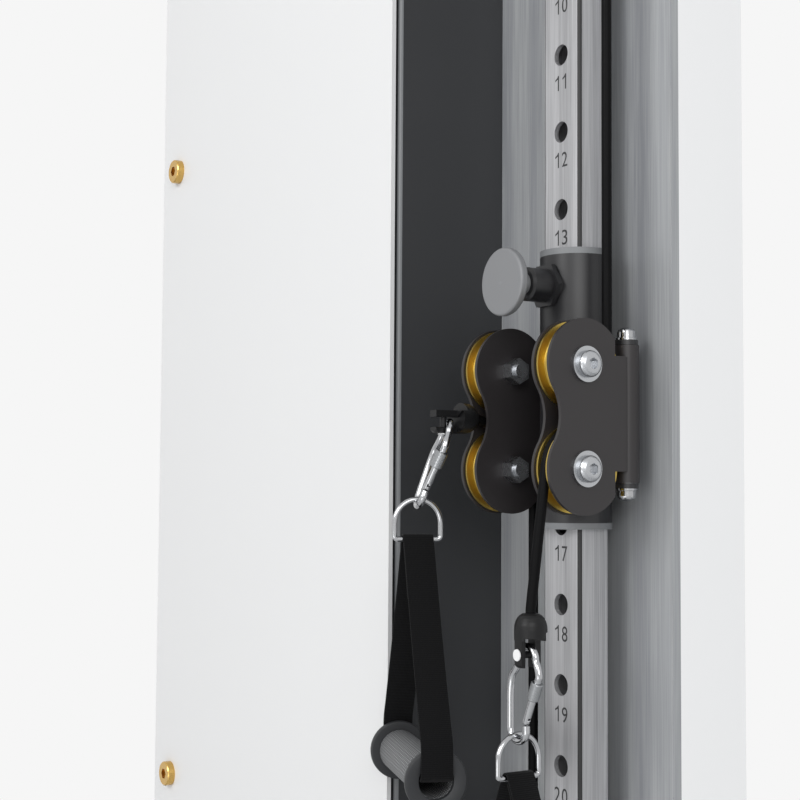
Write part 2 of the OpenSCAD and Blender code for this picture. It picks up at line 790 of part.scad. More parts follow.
// Hinge pins with a domed nut on each end
module hinge_pins() color("#d5d6d8") {
    dome = [for (a = [0:15:90]) [(cap_nut_r - 1) * cos(a), cap_nut_h - 4 + 4 * sin(a)]];
    for (s = [RIGHT, LEFT]) translate([rail_x + s * block_x, ry + hinge_y, 0]) {
        along_z([0, 0, yoke_z0 - lug_t], hinge_r, yoke_z1 - yoke_z0 + 2 * lug_t);
        for (m = [0, 1]) translate([0, 0, m == 1 ? yoke_z1 + lug_t : yoke_z0 - lug_t]) mirror([0, 0, 1 - m])
            rotate_extrude() polygon(concat([[0, 0], [cap_nut_r, 0], [cap_nut_r, 1.6], [cap_nut_r - 1, 2]], dome));
    }
}

// Plunger barrel: hexagon on the boss, then a round barrel with a rolled rim
module plunger_barrel() color("#232325") {
    translate([rail_x, boss_y, plunger_z]) rotate([90, 0, 0]) difference() {
        union() {
            linear_extrude(hex_t) hexagon(hex_af);
            cylinder(d = plunger_barrel_d, h = barrel_l - 2);
            translate([0, 0, barrel_l - 2]) cylinder(d1 = plunger_barrel_d, d2 = plunger_barrel_d - 4, h = 2);
        }
        translate([0, 0, -1]) cylinder(r = plunger_r + run, h = hex_t + 2);
        translate([0, 0, hex_t]) cylinder(r = chamber_r, h = barrel_l - hex_t - 2);
        cylinder(r = stem_r + run, h = barrel_l + 1);
    }
}

// Plunger pin: chamfered nose, shoulder for the spring and stem
module plunger_pin() color("#d5d6d8") {
    translate([rail_x, pin_nose_y, plunger_z]) rotate([90, 0, 0]) rotate_extrude()
        polygon([[0, 0], [plunger_r - 1.5, 0], [plunger_r, 1.5], [plunger_r, pin_nose_y - spring_seat],
            [stem_r, pin_nose_y - spring_seat], [stem_r, pin_nose_y - knob_back], [0, pin_nose_y - knob_back]]);
}

// Mushroom knob with its neck
module plunger_knob() color("#9b9c9e") {
    k = plunger_knob_d / 2;
    t = knob_back - knob_front;
    neck = knob_back - barrel_y + gap;
    face = [for (a = [0:10:30]) [k - 2 + 2 * cos(90 - 3 * a), t - 2 + 2 * sin(90 - 3 * a)]];
    translate([rail_x, knob_back, plunger_z]) rotate([90, 0, 0]) rotate_extrude() polygon(concat(
        [[0, 0], [stem_r + fit, 0], [stem_r + fit, neck], [8.5, neck], [8.5, -1], [11, 0.5],
            [k - 3, t - 7.5], [k - 0.6, t - 6.4], [k, t - 5.2]],
        [for (i = [3:-1:0]) face[i]], [[0, t + 0.8]]));
}

// Compression spring between the pin's shoulder and the end of the barrel
module plunger_spring() color("#b9bbbd") {
    turns = 3;
    steps = 12;
    wire = 0.5;
    mean = 7;
    y0 = chamber_y0 + wire + gap;
    rise = spring_seat - wire - gap - y0;
    sides = 5;
    n = turns * steps;
    rings = [for (i = [0:n]) let(a = 360 * i / steps, c = [mean * cos(a), rise * i / n, mean * sin(a)])
        for (k = [0:sides - 1]) let(b = 360 * k / sides)
            [rail_x, y0, plunger_z] + c + wire * (cos(b) * [cos(a), 0, sin(a)] + sin(b) * [0, -1, 0])];
    walls = [for (i = [0:n - 1], k = [0:sides - 1]) let(a = i * sides, b = a + sides, j = (k + 1) % sides)
        each [[a + k, b + k, b + j], [a + k, b + j, a + j]]];
    polyhedron(rings, concat(walls, [[for (k = [0:sides - 1]) k], [for (k = [sides - 1:-1:0]) n * sides + k]]));
}

// Pulley blocks

// Outline of a side plate, drawn with the wall to the right: two lobes, a waist in front and a straight back
module side_plate_outline() {
    c = [axle_y - waist_in - waist_r, waist_z];
    touch = side_plate_r / norm([axle_y - c[0], upper_z - waist_z]) * [c[0] - axle_y, waist_z - upper_z];
    difference() {
        union() {
            for (z = [lower_z, upper_z]) translate([axle_y, z]) circle(r = side_plate_r);
            polygon([[axle_y, upper_z], [axle_y, upper_z] + touch, [axle_y + touch[0], lower_z - touch[1]],
                [axle_y, lower_z]]);
            translate([axle_y, lower_z]) square([plate_back - axle_y, pulley_span]);
        }
        translate(c) circle(r = waist_r, $fn = 96);
        translate([plate_back, lower_z - side_plate_r - 1]) square([20, pulley_span + 2 * side_plate_r + 2]);
    }
    translate([plate_back - 1, tab_z0]) square([tab_back - plate_back + 1, tab_z1 - tab_z0]);
}

// The two side plates of a block
module block_plates(s) color("#2a2829") {
    for (x = [-block_half - side_plate_t, block_half])
        translate([rail_x + s * block_x + x, 0, 0]) rotate([90, 0, 90]) linear_extrude(side_plate_t) difference() {
            side_plate_outline();
            for (z = [lower_z, upper_z]) translate([axle_y, z]) circle(r = shank_r + fit);
        }
}

// Hinge barrel of a block and the web that the side plates are riveted to
module block_yoke(s) color("#1d1d1f") {
    x = rail_x + s * block_x;
    difference() {
        union() {
            along_z([x, ry + hinge_y, yoke_z0 + gap], barrel_r, yoke_z1 - yoke_z0 - 2 * gap);
            box([x - block_half, ry - 2, tab_z0], [x + block_half, ry + hinge_y - 5.5, tab_z1]);
        }
        along_z([x, ry + hinge_y, yoke_z0 - 1], hinge_r + run, yoke_z1 - yoke_z0 + 2);
    }
}

// Shoulder bolt, washer and nut of one pulley; the head is on the outer side
module block_bolt(s, z) {
    out = block_half + side_plate_t;
    translate([rail_x + s * block_x, axle_y, z]) rotate([0, 90 * s, 0]) {
        difference() {
            union() {
                translate([0, 0, -block_half]) cylinder(r = shoulder_r, h = block_gap);
                translate([0, 0, -out - 13]) cylinder(r = shank_r, h = 2 * out + 14);
                translate([0, 0, out]) cylinder(r = washer_r, h = 2.5);
                translate([0, 0, out + 2.5]) rotate_extrude() polygon(concat([[0, 0], [head_r, 0], [head_r, 2.5]],
                    [for (a = [15:15:75]) [head_r * cos(a) * 0.6 + head_r * 0.4, 2.5 + 4.5 * sin(a)]], [[0, 7]]));
            }
            translate([0, 0, out + 5]) linear_extrude(5) hexagon(8);
        }
        difference() {
            translate([0, 0, -out - 10]) linear_extrude(10) hexagon(nut_af);
            translate([0, 0, -out - 11]) cylinder(r = shank_r + fit, h = 12);
        }
    }
}

module block_bolts(s) color("#c9cacc") {
    for (z = [lower_z, upper_z]) block_bolt(s, z);
}

module block_pulley(s, z) color("#c9a24a") {
    translate([rail_x + s * block_x, axle_y, z]) rotate([0, 90, 0]) pulley(pitch_r, rim_r, shoulder_r + run);
}

// Cable ends

// Stopper along +Z from its cable end, with a slotted fork and a cross pin; the slot lies in the XZ plane
module stopper() {
    r = stopper_d / 2;
    dome = [for (a = [90:-15:15]) [cable_r + 0.6 + (r - cable_r - 0.6) * cos(a), 12 - 12 * sin(a)]];
    difference() {
        rotate_extrude() polygon(concat([[0, 0]], dome,
            [[r, 12], [r, stopper_l - 2], [r - 2, stopper_l], [0, stopper_l]]));
        for (x = [-r - 1, fork_half]) box([x, -r - 1, fork_from], [x + r + 1 - fork_half, r + 1, stopper_l + 1]);
        box([-r - 1, fork_back, fork_from - 6], [r + 1, r + 1, stopper_l + 1]);
        translate([0, 0, stopper_pin_at - wire_at - wire_r - 3.5]) linear_extrude(stopper_l)
            polygon([[-r, -fork_off - r - 1], [-7, -fork_off - 8.2], [-3.5, -fork_off - 4.6],
                [3.5, -fork_off - 4.6], [7, -fork_off - 8.2], [r, -fork_off - r - 1],
                [r, -fork_off + fork_slot / 2 + 6], [4, -fork_off + fork_slot / 2],
                [-4, -fork_off + fork_slot / 2], [-r, -fork_off + fork_slot / 2 + 6]]);
        along_y([0, -r - 1, stopper_pin_at], cross_pin_r + fit, 2 * r + 2);
    }
    along_y([0, -r + 0.4, stopper_pin_at], cross_pin_r, r + fork_back - 0.4);
    along_y([0, -r - 0.8, stopper_pin_at], pin_head_r, 1.2);
}

module stopper_right() color("#39393b") { translate(right_mouth) mirror([0, 0, 1]) stopper(); }
module stopper_left() color("#39393b") {
    translate(left_mouth) rotate([90, 0, 0]) stopper();
}

// Places the children at a carabiner: its plane is XZ and its origin the middle of its top bend
module at_carabiner(s) {
    if (s == RIGHT) translate(right_top - [0, 0, nose_r]) children();
    else translate(left_top) rotate([0, 0, left_yaw]) rotate([-left_lean, 0, 0]) translate([0, 0, -nose_r])
        children();
}

// Middle line of the carabiner's wire, from the gate's nose over the top and down the spine to the hinge
function hook_path() = concat(
    [[nose_u, 0, nose_w], [nose_u, 0, nose_w] + 1.2 * [sin(gate_angle), 0, cos(gate_angle)]],
    curve([14, 0, -10], [14, 0, -6], [nose_r, 0, -6], [nose_r, 0, 0], 4),
    [for (i = [1:11]) nose_r * [cos(15 * i), 0, sin(15 * i)]],
    curve([-nose_r, 0, 0], [-nose_r, 0, -8], [spine_u, 0, -9], [spine_u, 0, -19], 6),
    [[spine_u, 0, (hook_end_w - 19) / 2]],
    arc_xz([hook_end_u, 0, hook_end_w], hook_end_r, 180, 345, 10),
    [[hinge_u, 0, hinge_w - 1.5]]);

// Carabiner body with the tongue and the pin that the gate turns on
module carabiner(s) color("#c9cacc") {
    at_carabiner(s) {
        difference() {
            tube(hook_path(), wire_r, [0, 1, 0]);
            translate([hinge_u, 0, hinge_w]) for (k = [-1, 1])
                box([-wire_r - 1, k == 1 ? gate_tongue / 2 : -wire_r - 1, -4.5],
                    [wire_r + 1, k == 1 ? wire_r + 1 : -gate_tongue / 2, 4]);
        }
        translate([hinge_u, 0, hinge_w]) difference() {
            along_y([0, -gate_tongue / 2, 0], 2.2, gate_tongue);
            along_y([0, -gate_tongue, 0], 0.9, 2 * gate_tongue);
        }
        along_y([hinge_u, -wire_r + 0.2, hinge_w], 0.9, 2 * wire_r - 0.4);
    }
}

// Places the children at the gate's hinge, with +Z along the gate
module at_gate(s) {
    at_carabiner(s) translate([hinge_u, 0, hinge_w]) rotate([0, gate_angle, 0]) children();
}

// Gate: a round bar, slotted at its hinge
module carabiner_gate(s) color("#d2d3d5") {
    at_gate(s) difference() {
        union() {
            cylinder(r = wire_r, h = gate_len - gap);
            sphere(r = wire_r);
        }
        box([-wire_r - 1, -gate_tongue / 2 - 0.2, -wire_r - 1], [wire_r + 1, gate_tongue / 2 + 0.2, 4.5]);
        along_y([0, -wire_r - 1, 0], 0.9 + run, 2 * wire_r + 2);
    }
}

// Screw sleeve on the gate
module screw_sleeve(s) color("#b4b5b7") {
    at_gate(s) translate([0, 0, gate_len - 17]) rotate_extrude()
        polygon([[wire_r + run, 0], [screw_sleeve_d / 2 - 0.6, 0], [screw_sleeve_d / 2, 0.6],
            [screw_sleeve_d / 2, 13.4], [screw_sleeve_d / 2 - 0.6, 14], [wire_r + run, 14]]);
}

// Places the children at a handle: the origin is the carabiner's lowest bend and +X runs along the grip
module at_handle(s) {
    if (s == RIGHT) translate(right_hang) children();
    else translate(left_hang) rotate([0, 0, left_yaw]) children();
}

// Middle line of the D-ring
function ring_path() =
    let(h = ring_arc_r - ring_corner)
    concat(
        arc_yz([0, 0, ring_top - ring_arc_r], ring_arc_r, 0, 180, 12),
        arc_yz([0, -h, ring_bar + ring_corner], ring_corner, 180, 270, 3),
        arc_yz([0, h, ring_bar + ring_corner], ring_corner, 270, 360, 3));

module d_ring(s) color("#d5d6d8") {
    at_handle(s) tube(ring_path(), ring_r, [1, 0, 0], 10, true);
}

// Right half of the webbing's middle line in the XZ plane, from the D-ring's bar to the grip's axis
function strap_half() =
    let(knee = [strap_face, -grip_drop + disc_r - 2])
    let(lean = atan2(knee[0], ring_bar - knee[1]))
    concat(
        [for (i = [0:3]) let(a = (90 - lean) * i / 3) [0, ring_bar] + strap_wrap * [sin(a), cos(a)]],
        [knee + [-1, 6], knee + [0, -2]],
        [for (i = [0:4]) [strap_face - strap_turn, -grip_drop + strap_turn]
            + strap_turn * [cos(90 * i / 4), -sin(90 * i / 4)]]);

// Unit normal of a flat path at point i, pointing away from the loop
function outward(p, i) =
    let(n = len(p), t = toward(p[(i + n - 1) % n], p[(i + 1) % n])) [-t[1], t[0]];

// Closed loop of webbing round the D-ring's bar, down both legs and through the grip
module strap(s) color("#161617") {
    half = strap_half();
    n = len(half);
    loop = concat(half, [for (i = [n - 1:-1:1]) [-half[i][0], half[i][1]]]);
    at_handle(s) rotate([90, 0, 0]) translate([0, 0, -webbing_w / 2]) linear_extrude(webbing_w) difference() {
        polygon([for (i = [0:len(loop) - 1]) loop[i] + webbing_t / 2 * outward(loop, i)]);
        polygon([for (i = [0:len(loop) - 1]) loop[i] - webbing_t / 2 * outward(loop, i)]);
    }
}

// Hollow grip with a disc at each end
module grip(s) color("#8f9092") {
    h = grip_l / 2;
    t = grip_tube_d / 2;
    ribs = [for (z = [-h + disc_t + 4:4:h - disc_t - 4]) each [[t - 0.6, z - 0.8], [t, z], [t - 0.6, z + 0.8]]];
    at_handle(s) translate([0, 0, -grip_drop]) rotate([0, 90, 0]) rotate_extrude() polygon(concat(
        [[grip_bore_r, -h + 1], [grip_bore_r + 1, -h], [disc_r - 1.5, -h], [disc_r, -h + 1.5],
            [disc_r, -h + disc_t - 1.5], [disc_r - 1.5, -h + disc_t], [t - 0.6, -h + disc_t]],
        ribs,
        [[t - 0.6, h - disc_t], [disc_r - 1.5, h - disc_t], [disc_r, h - disc_t + 1.5], [disc_r, h - 1.5],
            [disc_r - 1.5, h], [grip_bore_r + 1, h], [grip_bore_r, h - 1]]));
}

// Cables

// Angle at which the cable crosses from one pulley of a block to the other
cross_angle = asin(2 * pitch_r / pulley_span);
// The straight ends of the cables in front of the stoppers
right_lead = right_mouth + [0, 0, 3];
left_lead = left_mouth + [0, 6, -1];
// Angle at which a cable leaves the lower pulley towards a point in front of it
function leave_angle(p) =
    let(to = [p[1] - axle_y, p[2] - lower_z], bearing = atan2(to[1], to[0]))
    (bearing < 0 ? bearing + 360 : bearing) - acos(pitch_r / norm(to));
hang_angle = leave_angle(right_lead);
left_angle = leave_angle(left_lead);
right_leave = [right_cable_x, axle_y, lower_z] + pitch_r * [0, cos(hang_angle), sin(hang_angle)];

module cable_upper_run() color("#141415") {
    tube([[right_cable_x, cable_y, guide_z - cable_joint], [right_cable_x, cable_y, upper_z + cable_joint]],
        cable_r, [0, 1, 0]);
}

module cable_lower_run() color("#141415") {
    tube([[left_cable_x, cable_y, -guide_z + cable_joint], [left_cable_x, cable_y, lower_z - cable_joint]],
        cable_r, [0, 1, 0]);
}

// In the right block: down the back of the upper pulley, across, and to the front of the lower one
module cable_wrap_right() color("#141415") {
    tube(concat(
        [[right_cable_x, axle_y + pitch_r, upper_z + stub]],
        arc_yz([right_cable_x, axle_y, upper_z], pitch_r, 0, -cross_angle, 4),
        arc_yz([right_cable_x, axle_y, lower_z], pitch_r, 180 - cross_angle, hang_angle, 4),
        [right_leave + stub * toward(right_leave, right_lead)]),
        cable_r, [1, 0, 0]);
}

// In the left block: up the back of the lower pulley and forward through the waist to the stopper
module cable_wrap_left() color("#141415") {
    tube(concat(
        [[left_cable_x, axle_y + pitch_r, lower_z - stub]],
        arc_yz([left_cable_x, axle_y, lower_z], pitch_r, 0, left_angle, 6),
        [left_lead, left_mouth + [0, 2, 0], left_mouth]),
        cable_r, [1, 0, 0]);
}

module cable_end_right() color("#141415") {
    tube([right_leave + cable_joint * toward(right_leave, right_lead), right_lead, right_mouth], cable_r, [1, 0, 0]);
}

// The fixed cable in the housing: head run, and the return run over the large pulley and along the foot
module cable_housing() color("#141415") {
    tube(concat(
        [[right_cable_x, cable_y, guide_z - stub]],
        arc_xz([top_outer_x, cable_y, guide_z], pitch_r, 0, 90, 6),
        arc_xz([top_inner_x, cable_y, guide_z], pitch_r, 90, 180, 6),
        [[stack_x + pitch_r, cable_y, guide_z - stub]]), cable_r, [0, 1, 0]);
    tube(concat(
        [[stack_x - pitch_r, cable_y, return_z - stub]],
        arc_xz([top_return_x, cable_y, return_z], return_r, 0, 180, 24),
        arc_xz([base_inner_x, cable_y, -guide_z], pitch_r, 180, 270, 6),
        arc_xz([base_outer_x, cable_y, -guide_z], pitch_r, 270, 360, 6),
        [[left_cable_x, cable_y, -guide_z + stub]]), cable_r, [0, 1, 0]);
}

// The two strands between the head of the housing and the stack pulley
module cable_strands() color("#141415") {
    foot = hanger_axle_z + cable_joint;
    tube([[stack_x + pitch_r, cable_y, guide_z - cable_joint], [stack_x + pitch_r, cable_y, foot]],
        cable_r, [0, 1, 0]);
    tube([[stack_x - pitch_r, cable_y, return_z - cable_joint], [stack_x - pitch_r, cable_y, foot]],
        cable_r, [0, 1, 0]);
}

module cable_stack_wrap() color("#141415") {
    tube(concat(
        [[stack_x + pitch_r, cable_y, hanger_axle_z + stub]],
        arc_xz([stack_x, cable_y, hanger_axle_z], pitch_r, 0, -180, 12),
        [[stack_x - pitch_r, cable_y, hanger_axle_z + stub]]), cable_r, [0, 1, 0]);
}

back_frame();
housing_shell();
end_caps();
front_panel();
panel_standoffs();
column_cladding();
rail();
end_channels();
guide_axles();
guide_rods();
weight_plates();
head_plate();
stack_hanger();
selector_stem();
stack_pulley();
selector_pin();
top_pulley_outer();
top_pulley_inner();
top_pulley_return();
base_pulley_outer();
base_pulley_inner();
carriage_sleeve();
sleeve_bushes();
hinge_pins();
plunger_barrel();
plunger_pin();
plunger_knob();
plunger_spring();
block_plates(RIGHT);  // block_plates_right
block_yoke(RIGHT);  // block_yoke_right
block_bolts(RIGHT);  // block_bolts_right
block_pulley(RIGHT, upper_z);  // pulley_upper_right
block_pulley(RIGHT, lower_z);  // pulley_lower_right
stopper_right();
carabiner(RIGHT);  // carabiner_right
carabiner_gate(RIGHT);  // carabiner_gate_right
screw_sleeve(RIGHT);  // screw_sleeve_right
d_ring(RIGHT);  // d_ring_right
strap(RIGHT);  // strap_right
grip(RIGHT);  // grip_right
block_plates(LEFT);  // block_plates_left
block_yoke(LEFT);  // block_yoke_left
block_bolts(LEFT);  // block_bolts_left
block_pulley(LEFT, upper_z);  // pulley_upper_left
block_pulley(LEFT, lower_z);  // pulley_lower_left
stopper_left();
carabiner(LEFT);  // carabiner_left
carabiner_gate(LEFT);  // carabiner_gate_left
screw_sleeve(LEFT);  // screw_sleeve_left
d_ring(LEFT);  // d_ring_left
strap(LEFT);  // strap_left
grip(LEFT);  // grip_left
cable_upper_run();
cable_lower_run();
cable_wrap_right();
cable_wrap_left();
cable_end_right();
cable_housing();
cable_strands();
cable_stack_wrap();
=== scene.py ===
"""Dresses the wall-mounted training gate: finishes, cables, wire parts, webbing handles and hole numbers.

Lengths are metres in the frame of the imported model: +X runs right along the wall, +Y into the wall, +Z up.
"""

import logging
import math
from abc import ABC, abstractmethod
from dataclasses import dataclass, field
from enum import Enum

import bpy
import numpy as np
from mathutils import Matrix, Vector


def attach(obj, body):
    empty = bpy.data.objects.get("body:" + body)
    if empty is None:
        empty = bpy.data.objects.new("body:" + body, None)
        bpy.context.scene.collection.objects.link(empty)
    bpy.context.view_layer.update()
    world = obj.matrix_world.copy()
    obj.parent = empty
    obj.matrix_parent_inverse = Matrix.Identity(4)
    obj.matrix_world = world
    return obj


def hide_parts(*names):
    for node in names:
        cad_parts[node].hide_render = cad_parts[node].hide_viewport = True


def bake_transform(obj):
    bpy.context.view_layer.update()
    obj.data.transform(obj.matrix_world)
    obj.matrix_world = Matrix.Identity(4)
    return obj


Tree = bpy.types.NodeTree
Node = bpy.types.Node
Socket = bpy.types.NodeSocket
Piece = bpy.types.Object

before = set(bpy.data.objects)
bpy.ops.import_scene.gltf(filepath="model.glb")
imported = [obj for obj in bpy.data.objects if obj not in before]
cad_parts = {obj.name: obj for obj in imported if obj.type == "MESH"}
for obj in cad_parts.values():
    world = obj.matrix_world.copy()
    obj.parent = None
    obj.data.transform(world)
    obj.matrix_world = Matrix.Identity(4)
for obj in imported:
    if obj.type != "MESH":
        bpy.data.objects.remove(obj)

log = logging.getLogger("training_gate")
MM = 0.001
IMAGE_SIZE = 800  # pixels along each side of the photograph
WAVE_PERIOD = 0.31  # metres between the bands of a wave texture at scale 1
SHARP_EDGE = math.radians(40)
X, Y, Z = np.eye(3)

Point = tuple[float, float, float]


def linear(hex_colour: str) -> tuple[float, float, float, float]:
    """Turn an sRGB hex colour into linear RGBA.

    Args:
        hex_colour: Six hex digits after a hash sign.

    Returns:
        The linear red, green and blue, and an alpha of 1.
    """
    parts = [int(hex_colour[i : i + 2], 16) / 255 for i in (1, 3, 5)]
    rgb = [p / 12.92 if p <= 0.04045 else ((p + 0.055) / 1.055) ** 2.4 for p in parts]
    return rgb[0], rgb[1], rgb[2], 1.0


class Side(Enum):
    """The two pulley blocks by their place beside the rail."""

    RIGHT = 1
    LEFT = -1

    @property
    def word(self) -> str:
        """Return the side's name as the CAD nodes and bodies end in it."""
        return self.name.lower()


# Finishes


def add_node(tree: Tree, kind: str, values: dict | None = None, **settings: object) -> Node:
    """Add a node, set its options and fill its sockets.

    Args:
        tree: The material's or the world's node tree.
        kind: Blender's name of the node type.
        values: Socket name or number to a constant, or to an output socket that is linked to it.
        settings: Attributes of the node.

    Returns:
        The new node.
    """
    node = tree.nodes.new(kind)
    for key, value in settings.items():
        setattr(node, key, value)
    for key, value in (values or {}).items():
        if isinstance(value, Socket):
            tree.links.new(value, node.inputs[key])
        else:
            node.inputs[key].default_value = value
    return node


def combine(tree: Tree, operation: str, a: Socket, b: Socket | float) -> Socket:
    """Put two values through a math node and return the result's socket."""
    return add_node(tree, "ShaderNodeMath", {0: a, 1: b}, operation=operation).outputs[0]


@dataclass(frozen=True)
class Patch:
    """A region of a node that is finished otherwise: a box in the frame by its middle and half its sides."""

    centre: Point
    half: Point
    colour: str
    roughness: float
    metallic: float = 0.0


@dataclass
class Paint:
    """A material in the making: its node tree and the shader at the end of it."""

    tree: Tree
    shader: Node

    def space(self) -> Socket:
        """Return the piece's own coordinates, which are metres in the frame."""
        return add_node(self.tree, "ShaderNodeTexCoord").outputs["Object"]

    def sheet(self) -> Socket:
        """Return the piece's own UV map, which is in metres."""
        return add_node(self.tree, "ShaderNodeUVMap", uv_map="UVMap").outputs[0]

    def noise(self, scale: float, detail: float = 3.0, coords: Socket | None = None) -> Socket:
        """Return a noise pattern of scale features a metre, on the piece's own coordinates or on others."""
        values = {"Vector": coords or self.space(), "Scale": scale, "Detail": detail}
        return add_node(self.tree, "ShaderNodeTexNoise", values).outputs[0]

    def wave(self, coords: Socket, spacing: float, distortion: float = 0.0, **settings: str) -> Socket:
        """Return a wave pattern whose bands are spacing metres apart."""
        values = {"Vector": coords, "Scale": WAVE_PERIOD / spacing, "Distortion": distortion}
        return add_node(self.tree, "ShaderNodeTexWave", values, **settings).outputs[1]

    def ramp(
        self, value: Socket, low: float, high: float, source: tuple[float, float] = (0.3, 0.7)
    ) -> Socket:
        """Map the source's range of a pattern onto low to high and return the result's socket."""
        values = {0: value, 1: source[0], 2: source[1], 3: low, 4: high}
        return add_node(self.tree, "ShaderNodeMapRange", values).outputs[0]

    def colours(self, pattern: Socket, source: tuple[float, float], dark: str, light: str) -> None:
        """Let the colour follow a pattern: dark at the source's low end and light at its high end.

        Args:
            pattern: The pattern.
            source: The range that it covers.
            dark: Colour at the low end.
            light: Colour at the high end.
        """
        values = {0: self.ramp(pattern, 0.0, 1.0, source), 6: linear(dark), 7: linear(light)}
        mix = add_node(self.tree, "ShaderNodeMix", values, data_type="RGBA")
        self.tree.links.new(mix.outputs[2], self.shader.inputs["Base Color"])

    def gloss(self, pattern: Socket, low: float, high: float) -> None:
        """Let the roughness follow a pattern from low to high."""
        self.tree.links.new(self.ramp(pattern, low, high), self.shader.inputs["Roughness"])

    def bump(self, height: Socket, depth: float) -> None:
        """Raise the surface by a pattern; depth is the height of its peaks in metres."""
        node = add_node(self.tree, "ShaderNodeBump", {"Height": height, "Distance": depth, "Strength": 1.0})
        self.tree.links.new(node.outputs[0], self.shader.inputs["Normal"])

    def skin(self, pattern: Socket, low: float, high: float, depth: float) -> None:
        """Let the roughness follow a pattern from low to high, and raise its peaks by depth metres."""
        self.gloss(pattern, low, high)
        self.bump(pattern, depth)

    def lay(self, patch: Patch) -> None:
        """Give the shader the patch's colour, roughness and metal inside its box.

        A point is inside where the largest of |p - centre| - half over the three axes is below 0.

        Args:
            patch: The region and its looks.
        """
        tree, kind = self.tree, "ShaderNodeVectorMath"
        off = add_node(tree, kind, {0: self.space(), 1: patch.centre}, operation="SUBTRACT").outputs[0]
        size = add_node(tree, kind, {0: off}, operation="ABSOLUTE").outputs[0]
        over = add_node(tree, kind, {0: size, 1: patch.half}, operation="SUBTRACT").outputs[0]
        x, y, z = add_node(tree, "ShaderNodeSeparateXYZ", {0: over}).outputs
        inside = combine(tree, "LESS_THAN", combine(tree, "MAXIMUM", combine(tree, "MAXIMUM", x, y), z), 0.0)
        for name, value in (("Roughness", patch.roughness), ("Metallic", patch.metallic)):
            socket = self.shader.inputs[name]
            before = socket.links[0].from_socket if socket.is_linked else socket.default_value
            mix = add_node(tree, "ShaderNodeMix", {0: inside, 2: before, 3: value})
            tree.links.new(mix.outputs[0], socket)
        socket = self.shader.inputs["Base Color"]
        before = socket.links[0].from_socket if socket.is_linked else tuple(socket.default_value)
        values = {0: inside, 6: before, 7: linear(patch.colour)}
        mix = add_node(tree, "ShaderNodeMix", values, data_type="RGBA")
        tree.links.new(mix.outputs[2], socket)


@dataclass(frozen=True)
class Finish(ABC):
    """A material with its name, its colour, its roughness and the patches on it.

    Reflection is the share of plain reflection, where 0.5 is an index of refraction of 1.5.
    """

    name: str
    colour: str
    roughness: float
    metallic: float = field(default=0.0, kw_only=True)
    reflection: float = field(default=0.5, kw_only=True)
    patches: tuple[Patch, ...] = field(default=(), kw_only=True)

    def build(self) -> bpy.types.Material:
        """Make the material at its first use.

        Returns:
            The material, the same one each time.
        """
        made = bpy.data.materials.get(self.name)
        if made:
            return made
        material = bpy.data.materials.new(self.name)
        material.use_nodes = True
        tree = material.node_tree
        tree.nodes.clear()
        values = {
            "Base Color": linear(self.colour),
            "Roughness": self.roughness,
            "Metallic": self.metallic,
            "Specular IOR Level": self.reflection,
        }
        paint = Paint(tree, add_node(tree, "ShaderNodeBsdfPrincipled", values))
        self.dress(paint)
        for patch in self.patches:
            paint.lay(patch)
        add_node(tree, "ShaderNodeOutputMaterial", {"Surface": paint.shader.outputs[0]})
        return material

    @abstractmethod
    def dress(self, paint: Paint) -> None:
        """Add this finish's own pattern to a material in the making."""


@dataclass(frozen=True)
class BrushedSteel(Finish):
    """Stainless sheet rubbed with a belt: long scratches draw the light out into soft upright streaks."""

    pale: str = "#a8a9aa"
    grain: Point = (1.0, 1.0, 0.012)  # an upright rub: the pattern's stretch along X, Y and Z
    scratch: float = 1.2 * MM
    bands: float = 0.08  # broad bands for each scratch
    depth: float = 0.02 * MM

    def dress(self, paint: Paint) -> None:
        """Stretch two noises along the grain: fine scratches and broad bands.

        Args:
            paint: The material in the making.
        """
        values = {"Vector": paint.space(), "Scale": self.grain}
        run = add_node(paint.tree, "ShaderNodeMapping", values).outputs[0]
        fine = paint.noise(1 / self.scratch, 4.0, run)
        broad = paint.noise(self.bands / self.scratch, 2.0, run)
        paint.colours(combine(paint.tree, "ADD", fine, broad), (0.75, 1.25), self.colour, self.pale)
        paint.skin(fine, self.roughness - 0.08, self.roughness + 0.1, self.depth)


@dataclass(frozen=True)
class PowderCoat(Finish):
    """Baked powder paint on steel: a fine orange peel breaks up the highlights."""

    peel: float = 1.6 * MM
    clouds: float = 6.0  # slow changes of gloss in a metre
    depth: float = 0.03 * MM

    def dress(self, paint: Paint) -> None:
        """Add the peel as a bump and a slow change of gloss."""
        paint.gloss(paint.noise(self.clouds), self.roughness - 0.05, self.roughness + 0.07)
        paint.bump(paint.noise(1 / self.peel), self.depth)


@dataclass(frozen=True)
class BrightMetal(Finish):
    """Plated or polished steel: a mirror broken only by faint wear."""

    metallic: float = field(default=1.0, kw_only=True)
    worn: float = 0.04
    marks: float = 260.0  # wear marks in a metre
    depth: float = 0.0015 * MM

    def dress(self, paint: Paint) -> None:
        """Add wear to the gloss."""
        paint.skin(paint.noise(self.marks, 4.0), self.roughness, self.roughness + self.worn, self.depth)


@dataclass(frozen=True)
class TurnedMetal(Finish):
    """Metal machined on a lathe: fine tool lines spread the highlight.

    The lines are rings about the frame's Z axis, so they cross a small piece as nearly straight lines.
    """

    metallic: float = field(default=1.0, kw_only=True)
    pitch: float = 0.9 * MM
    waver: float = 0.4  # how far the lines stray
    depth: float = 0.012 * MM

    def dress(self, paint: Paint) -> None:
        """Add the tool lines as a wave in gloss and height."""
        lines = paint.wave(paint.space(), self.pitch, self.waver, wave_type="RINGS", rings_direction="Z")
        paint.skin(lines, self.roughness - 0.04, self.roughness + 0.06, self.depth)


